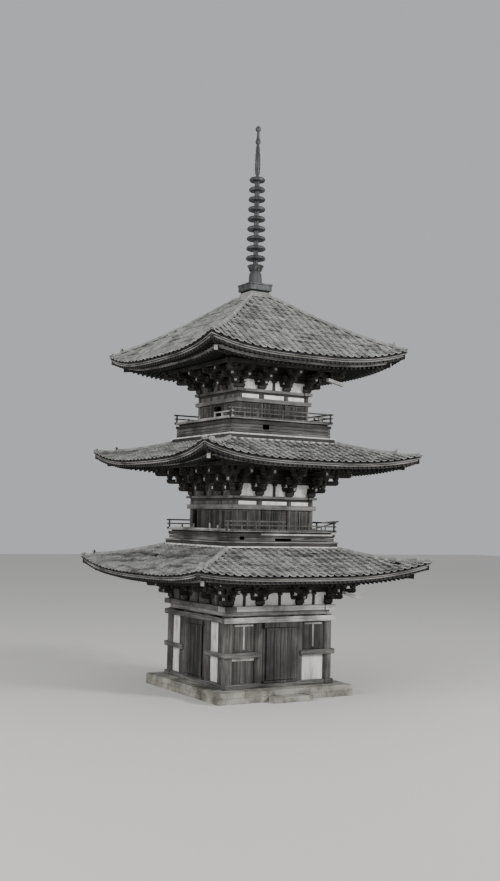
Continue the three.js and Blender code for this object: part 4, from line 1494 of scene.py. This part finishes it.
for level, b in BASES.items():
    beams = softened_copy(f"balcony_{level}_frame", f"balcony_{level}_beams", 0.0)
    for (x0, z0), (x1, z1) in b.holes:
        cut_hole(beams, (x0, -b.wall - 0.3, z0), (x1, -b.wall + 0.13, z1), HOLE_ROUNDING)
    laps = lap_boards(b)
    hand_in(soften(beams), shade_dark_bracket_wood, replaces=[f"balcony_{level}_frame"])
    hand_in(joined(f"balcony_{level}_base_boards", laps), lap_wood)
    if level == 2:
        bleached = box((-0.81, -2.016, 5.066), (1.93, -2.003, 5.119), "balcony_2_bleached_strip")
        hand_in(soften(bleached, 0.003), plate_wood)

# %% [markdown]
# Two pale planks stick out under the eaves on the right, where boards have dropped from the brackets and
# hang by their inner ends. Each is a bar whose outer end was split, so that end is cut on a slant.

# %% Dropped planks
def dropped_plank(name, start, end):
    plank = unit_bar()
    pick(plank, "VERT", lambda co: co.x > 0.9 and co.z > 0.5)
    slide(-0.06, 0, 0)
    done()
    laid = copies(plank, name, [span(start, end, 0.14, 0.1)])
    discard(plank)
    hand_in(soften(laid, 0.004), plate_wood)


dropped_plank("storey_1_dropped_plank", (2.05, -2.53, 3.22), (2.675, -2.53, 3.035))
dropped_plank("storey_3_dropped_plank", (1.5, -2.2, 10.08), (2.133, -2.2, 9.94))

# %% [markdown]
# Three rails on short posts guard each balcony. Their ends run past the corners and cross. The lower
# balcony's front top rail has a gap, its right end has sprung upwards, and a fallen bar leans behind it.
# On the left only the bleached bottom rail and stumps are left, and on the upper balcony one length of
# the middle rail. A stump's top was broken off on a slant.

# %% Railings
RAIL = Sizes(inset=0.06, bar=0.055, post=0.05, stud=0.036, middle=0.15, middle_bar=0.04,
             top=0.27, top_bar=0.05, spread=0.09, past=0.02, foot=0.05, slant=0.035,
             stumps=((0.68, 0.17), (0.42, 0.23), (-0.12, 0.2), (-0.55, 0.14)),
             gap=(0.12, 1.5), spring=0.05, left_over=(0.73, 0.167, 0.21))


def rail_bar(line, z, start, end, low, high, thick=RAIL.post):
    """A bar along the front from start to end, its heights measured from the floor at z."""
    return box((start, -line - thick / 2, z + low), (end, -line + thick / 2, z + high))


def broken_rail(line, z, long, keeps_middle):
    r = RAIL
    parts = [rail_bar(line, z, -long, long, 0, r.bar)]
    for share, high in r.stumps:
        x = share * line
        stump = rail_bar(line, z, x - r.post / 2, x + r.post / 2, r.foot, high)
        pick(stump, "EDGE", lambda middle, along: middle.z > z + high - 0.01 and middle.x > x + 0.01)
        slide(0, 0, -r.slant)
        done()
        parts.append(stump)
    if keeps_middle:
        start, low, high = r.left_over
        parts.append(rail_bar(line, z, start, long, low, high, r.middle_bar))
    return soften(joined("rail", parts), 0.005)


def fallen_bar(line, z):
    bar = unit_bar()
    inside = -line + RAIL.post / 2 + 0.0225
    laid = copies(bar, "fallen", [span((0.95, inside, z - 0.003), (1.97, inside, z + 0.25), 0.045, 0.045)])
    discard(bar)
    return laid


def standing_rail(line, z, long, sprung):
    r = RAIL
    end = long + r.past
    parts = [rail_bar(line, z, -long, long, 0, r.bar),
             rail_bar(line, z, -long, long, r.middle, r.middle + r.middle_bar, r.middle_bar)]
    for i in range(9):
        x = (i / 4 - 1) * line
        thick, high = (r.stud, r.middle) if i % 2 else (r.post, r.top)
        parts.append(rail_bar(line, z, x - thick / 2, x + thick / 2, r.foot, high + 0.005, thick))
    for start, stop in ((-end, r.gap[0]), (r.gap[1], end + 0.07)) if sprung else ((-end, end),):
        parts.append(rail_bar(line, z, start, stop, r.top, r.top + r.top_bar))
    if sprung:
        pick(parts[-1], "FACE", lambda middle, normal: normal.x > 0.9)
        slide(0, 0, r.spring)
        done()
        parts.append(fallen_bar(line, z))
    return soften(joined("rail", parts), 0.006)


for level, b in BALCONIES.items():
    line = b.half - RAIL.inset
    long = line + RAIL.spread
    z = b.top + 0.0003
    rails = [standing_rail(line, z, long, sprung=(level == 2 and side == 0)) for side in range(3)]
    broken = broken_rail(line, z, long, keeps_middle=(level == 3))
    broken.name = f"balcony_{level}_broken_rail"
    for side, rail in enumerate(rails + [broken]):
        rail.data.transform(quarter(side))
    hand_in(broken, batten_wood)
    hand_in(joined(f"balcony_{level}_rails", rails), post_wood, replaces=[f"balcony_{level}_railing"])

# %% [markdown]
# The podium is dressed granite in two courses of long stones, with a paved top. A core behind the stones
# keeps the joints dark. The step before the door is two stones end to end.

# %% Podium
PODIUM = Sizes(half=2.478, bed=0.175, top=0.35, core=2.45, paved=2.05, slabs=6)


def stone_row(depth, low, high, length, seed):
    """Stones along the front edge from the left corner to before the right one, turned round the square."""
    dice = random.Random(seed)
    half = PODIUM.half
    x = -half
    end = half - depth
    row = []
    while x < end - 0.1:
        long = dice.uniform(0.85, 1.15) * length
        stop = end if end - x < 1.5 * length else x + long
        row.append(box((x + 0.003, -half + dice.uniform(0, 0.004), low + 0.002),
                       (stop - 0.003, -half + depth, high - 0.002)))
        x = stop
    return on_sides(joined("row", row))


def paving():
    edge = PODIUM.paved
    slab = 2 * edge / PODIUM.slabs
    corners = [-edge + i * slab for i in range(PODIUM.slabs)]
    return [box((x + 0.004, y + 0.004, 0.3), (x + slab - 0.004, y + slab - 0.004, PODIUM.top - 0.002))
            for x in corners for y in corners]


courses = [stone_row(0.3, 0.0, PODIUM.bed, 0.78, 11),
           stone_row(0.42, PODIUM.bed, PODIUM.top, 0.95, 12)]
core = box((-PODIUM.core, -PODIUM.core, 0.001), (PODIUM.core, PODIUM.core, 0.33))
stones = soften(joined("podium_stones", courses + paving()), 0.008, 2)
hand_in(joined("podium_stones", [stones, core]), granite, replaces=["stone_podium"])
step = [box((start, -2.838, 0.0), (end, -2.483, 0.173)) for start, end in ((-0.7, -0.055), (-0.05, 0.7))]
hand_in(soften(joined("step_stones", step), 0.012, 2), granite, replaces=["front_step"])

# %% [markdown]
# The spire is cast bronze on a wooden mast. Its round parts are turned: a disc is extruded up and resized
# from one point of the outline to the next. The bowl carries a ring of lotus petals, each a small plate
# whose top is narrowed and bent out.

# %% Spire bowl
SPIRE = Sizes(box_top=13.4403, petals=12, top=18.95, sides=32)
BOWL = ((0.228, 0), (0.228, 0.05), (0.222, 0.2), (0.212, 0.33), (0.196, 0.4), (0.17, 0.44), (0.165, 0.46),
        (0.185, 0.49), (0.215, 0.545), (0.255, 0.6), (0.284, 0.64), (0.265, 0.658), (0.19, 0.625),
        (0.11, 0.6))


def turned(outline, sides=SPIRE.sides):
    """A turned piece from its outline of (radius, height) points, from the bottom up."""
    take_up()
    radius, z = outline[0]
    bpy.ops.mesh.primitive_circle_add(vertices=sides, radius=radius, fill_type="NGON", location=(0, 0, z))
    piece = settle("turned")
    open_whole(piece)
    for new_radius, new_z in outline[1:]:
        extrude(0, 0, new_z - z)
        share = new_radius / radius
        bpy.ops.transform.resize(value=(share, share, 1))
        radius, z = new_radius, new_z
    close_outwards()
    return piece


def cast(name, parts, node):
    hand_in(joined(name, parts), bronze, replaces=[node], smooth=True)


def spire_bowl():
    z = SPIRE.box_top
    bowl = turned([(radius, z + up) for radius, up in BOWL])
    petal = box((-0.045, -0.012, 0), (0.045, 0.012, 0.14))
    pick(petal, "FACE", lambda middle, normal: normal.z > 0.9)
    bpy.ops.transform.resize(value=(0.4, 1, 1))
    slide(0, -0.05, 0)
    done()
    turn = 2 * math.pi / SPIRE.petals
    places = [Matrix.Rotation(turn * i, 4, "Z") @ at(0, -0.195, z + 0.475) for i in range(SPIRE.petals)]
    petals = copies(soften(petal, 0.006), "petals", places)
    discard(petal)
    cast("spire_bowl_and_lotus", [bowl, petals], "spire_bowl")


spire_bowl()

# %% [markdown]
# The nine rings are one turned wheel, copied at nine sizes on a shaft, with a wider hub inside them. The
# flame is two thin sheets that cross, drawn out step by step so that their edges flicker. A stem runs up
# through them to the ball and the jewel.

# %% Rings, flame and jewel
RINGS = Sizes(low=14.36, pitch=0.338, count=9, wide=0.34, narrow=0.27, shaft=0.058, hub=0.085)
FLAME = ((0.09, 0.06), (0.08, 0.12), (0.1, 0.19), (0.09, 0.27), (0.102, 0.35), (0.09, 0.43), (0.098, 0.51),
         (0.082, 0.59), (0.09, 0.67), (0.07, 0.75), (0.074, 0.82), (0.05, 0.9))
TOP_RING = RINGS.low + RINGS.pitch * (RINGS.count - 1)


def spire_rings():
    wheel = turned([(0.3, -0.07), (0.72, -0.075), (0.9, -0.068), (0.98, -0.045), (1.0, -0.015),
                    (0.96, 0.018), (0.86, 0.045), (0.68, 0.062), (0.45, 0.07), (0.3, 0.075)], 36)
    places = []
    for i in range(RINGS.count):
        r = RINGS.wide + (RINGS.narrow - RINGS.wide) * i / (RINGS.count - 1)
        places.append(at(0, 0, RINGS.low + i * RINGS.pitch, size=(r, r, 1)))
    wheels = copies(wheel, "wheels", places)
    discard(wheel)
    top = TOP_RING + 0.18
    shaft = rod(0, 0, SPIRE.box_top + 0.6006, top, RINGS.shaft, 28)
    hub = rod(0, 0, SPIRE.box_top + 0.61, top - 0.13, RINGS.hub, 28)
    cast("spire_wheels", [wheels, soften(hub, 0.01), shaft], "spire_rings")


def flame_sheet():
    """One sheet of the flame: its width at each height is resized as it is extruded upwards."""
    width, z = 0.06, 0.02
    sheet = box((-width, -0.009, 0), (width, 0.009, z))
    for new_width, new_z in FLAME:
        pick(sheet, "FACE", lambda middle, normal, z=z: normal.z > 0.9 and middle.z > z - 0.001)
        extrude(0, 0, new_z - z)
        bpy.ops.transform.resize(value=(new_width / width, 1, 1))
        done()
        width, z = new_width, new_z
    return sheet


def arc(centre, radius, steps, low, high):
    """Outline points of a ball between two angles."""
    angles = [math.radians(low + (high - low) * i / steps) for i in range(steps + 1)]
    return [(max(radius * math.cos(a), 0.004), centre + radius * math.sin(a)) for a in angles]


def spire_top():
    base = TOP_RING + 0.1803
    sheet = flame_sheet()
    sheets = copies(sheet, "sheets", [at(0, 0, base, math.pi / 4 * k) for k in (1, 3)])
    discard(sheet)
    ball = base + 1.13
    jewel = SPIRE.top - 0.13
    stem = turned([(0.072, base), (0.072, base + 0.88), (0.05, ball - 0.11), *arc(ball, 0.092, 8, -60, 30),
                   (0.06, ball + 0.1), (0.05, ball + 0.18), (0.045, jewel - 0.13),
                   *arc(jewel, 0.1, 9, -60, 40), (0.05, jewel + 0.09), (0.022, jewel + 0.112),
                   (0.004, SPIRE.top)], 28)
    cast("spire_flame", [sheets, stem], "spire_flame_and_jewel")


spire_rings()
spire_top()
dress("spire_box", "spire_dew_basin", bronze, 0.012)

# %% [markdown]
# The last solids keep their own meshes, because their shapes are right: the ground floor and the ceiling.
# Only their material is changed.

# %% Floor and ceiling
for node in ("ground_floor", "ground_ceiling"):
    frame["nodes"][node].data.materials.clear()
    frame["nodes"][node].data.materials.append(board_wood)
    print(node, "in", board_wood.name)

# %% [markdown]
# The studio is a plain pale floor and soft light: a large key lamp from the right front, high up, and a
# broad fill from the left.

# %% Studio, light and finish
def add_floor():
    take_up()
    bpy.ops.mesh.primitive_plane_add(size=240, location=(0, 0, -0.001))
    floor = settle("floor")
    material, shader = start_material("pale_studio_floor", 0.9)
    shader.inputs["Base Color"].default_value = linear("#d8d6d2")
    floor.data.materials.append(material)


def add_light(name, place, aim, size, power):
    data = bpy.data.lights.new(name, "AREA")
    data.shape = "DISK"
    data.size = size
    data.energy = power
    light = bpy.data.objects.new(name, data)
    light.location = place
    light.rotation_euler = (Vector(aim) - Vector(place)).to_track_quat("-Z", "Y").to_euler()
    bpy.context.collection.objects.link(light)
    print("light:", name, power, "W")


add_floor()
add_light("key", (24, -34, 18), (0, 0, 8), 10, 16000)
add_light("fill", (-40, -10, 20), (0, 0, 7), 30, 13000)
world = bpy.data.worlds.new("studio")
bpy.context.scene.world = world
world.use_nodes = True
sky = world.node_tree.nodes["Background"]
sky.inputs["Color"].default_value = linear("#dcdde0")
sky.inputs["Strength"].default_value = 0.68
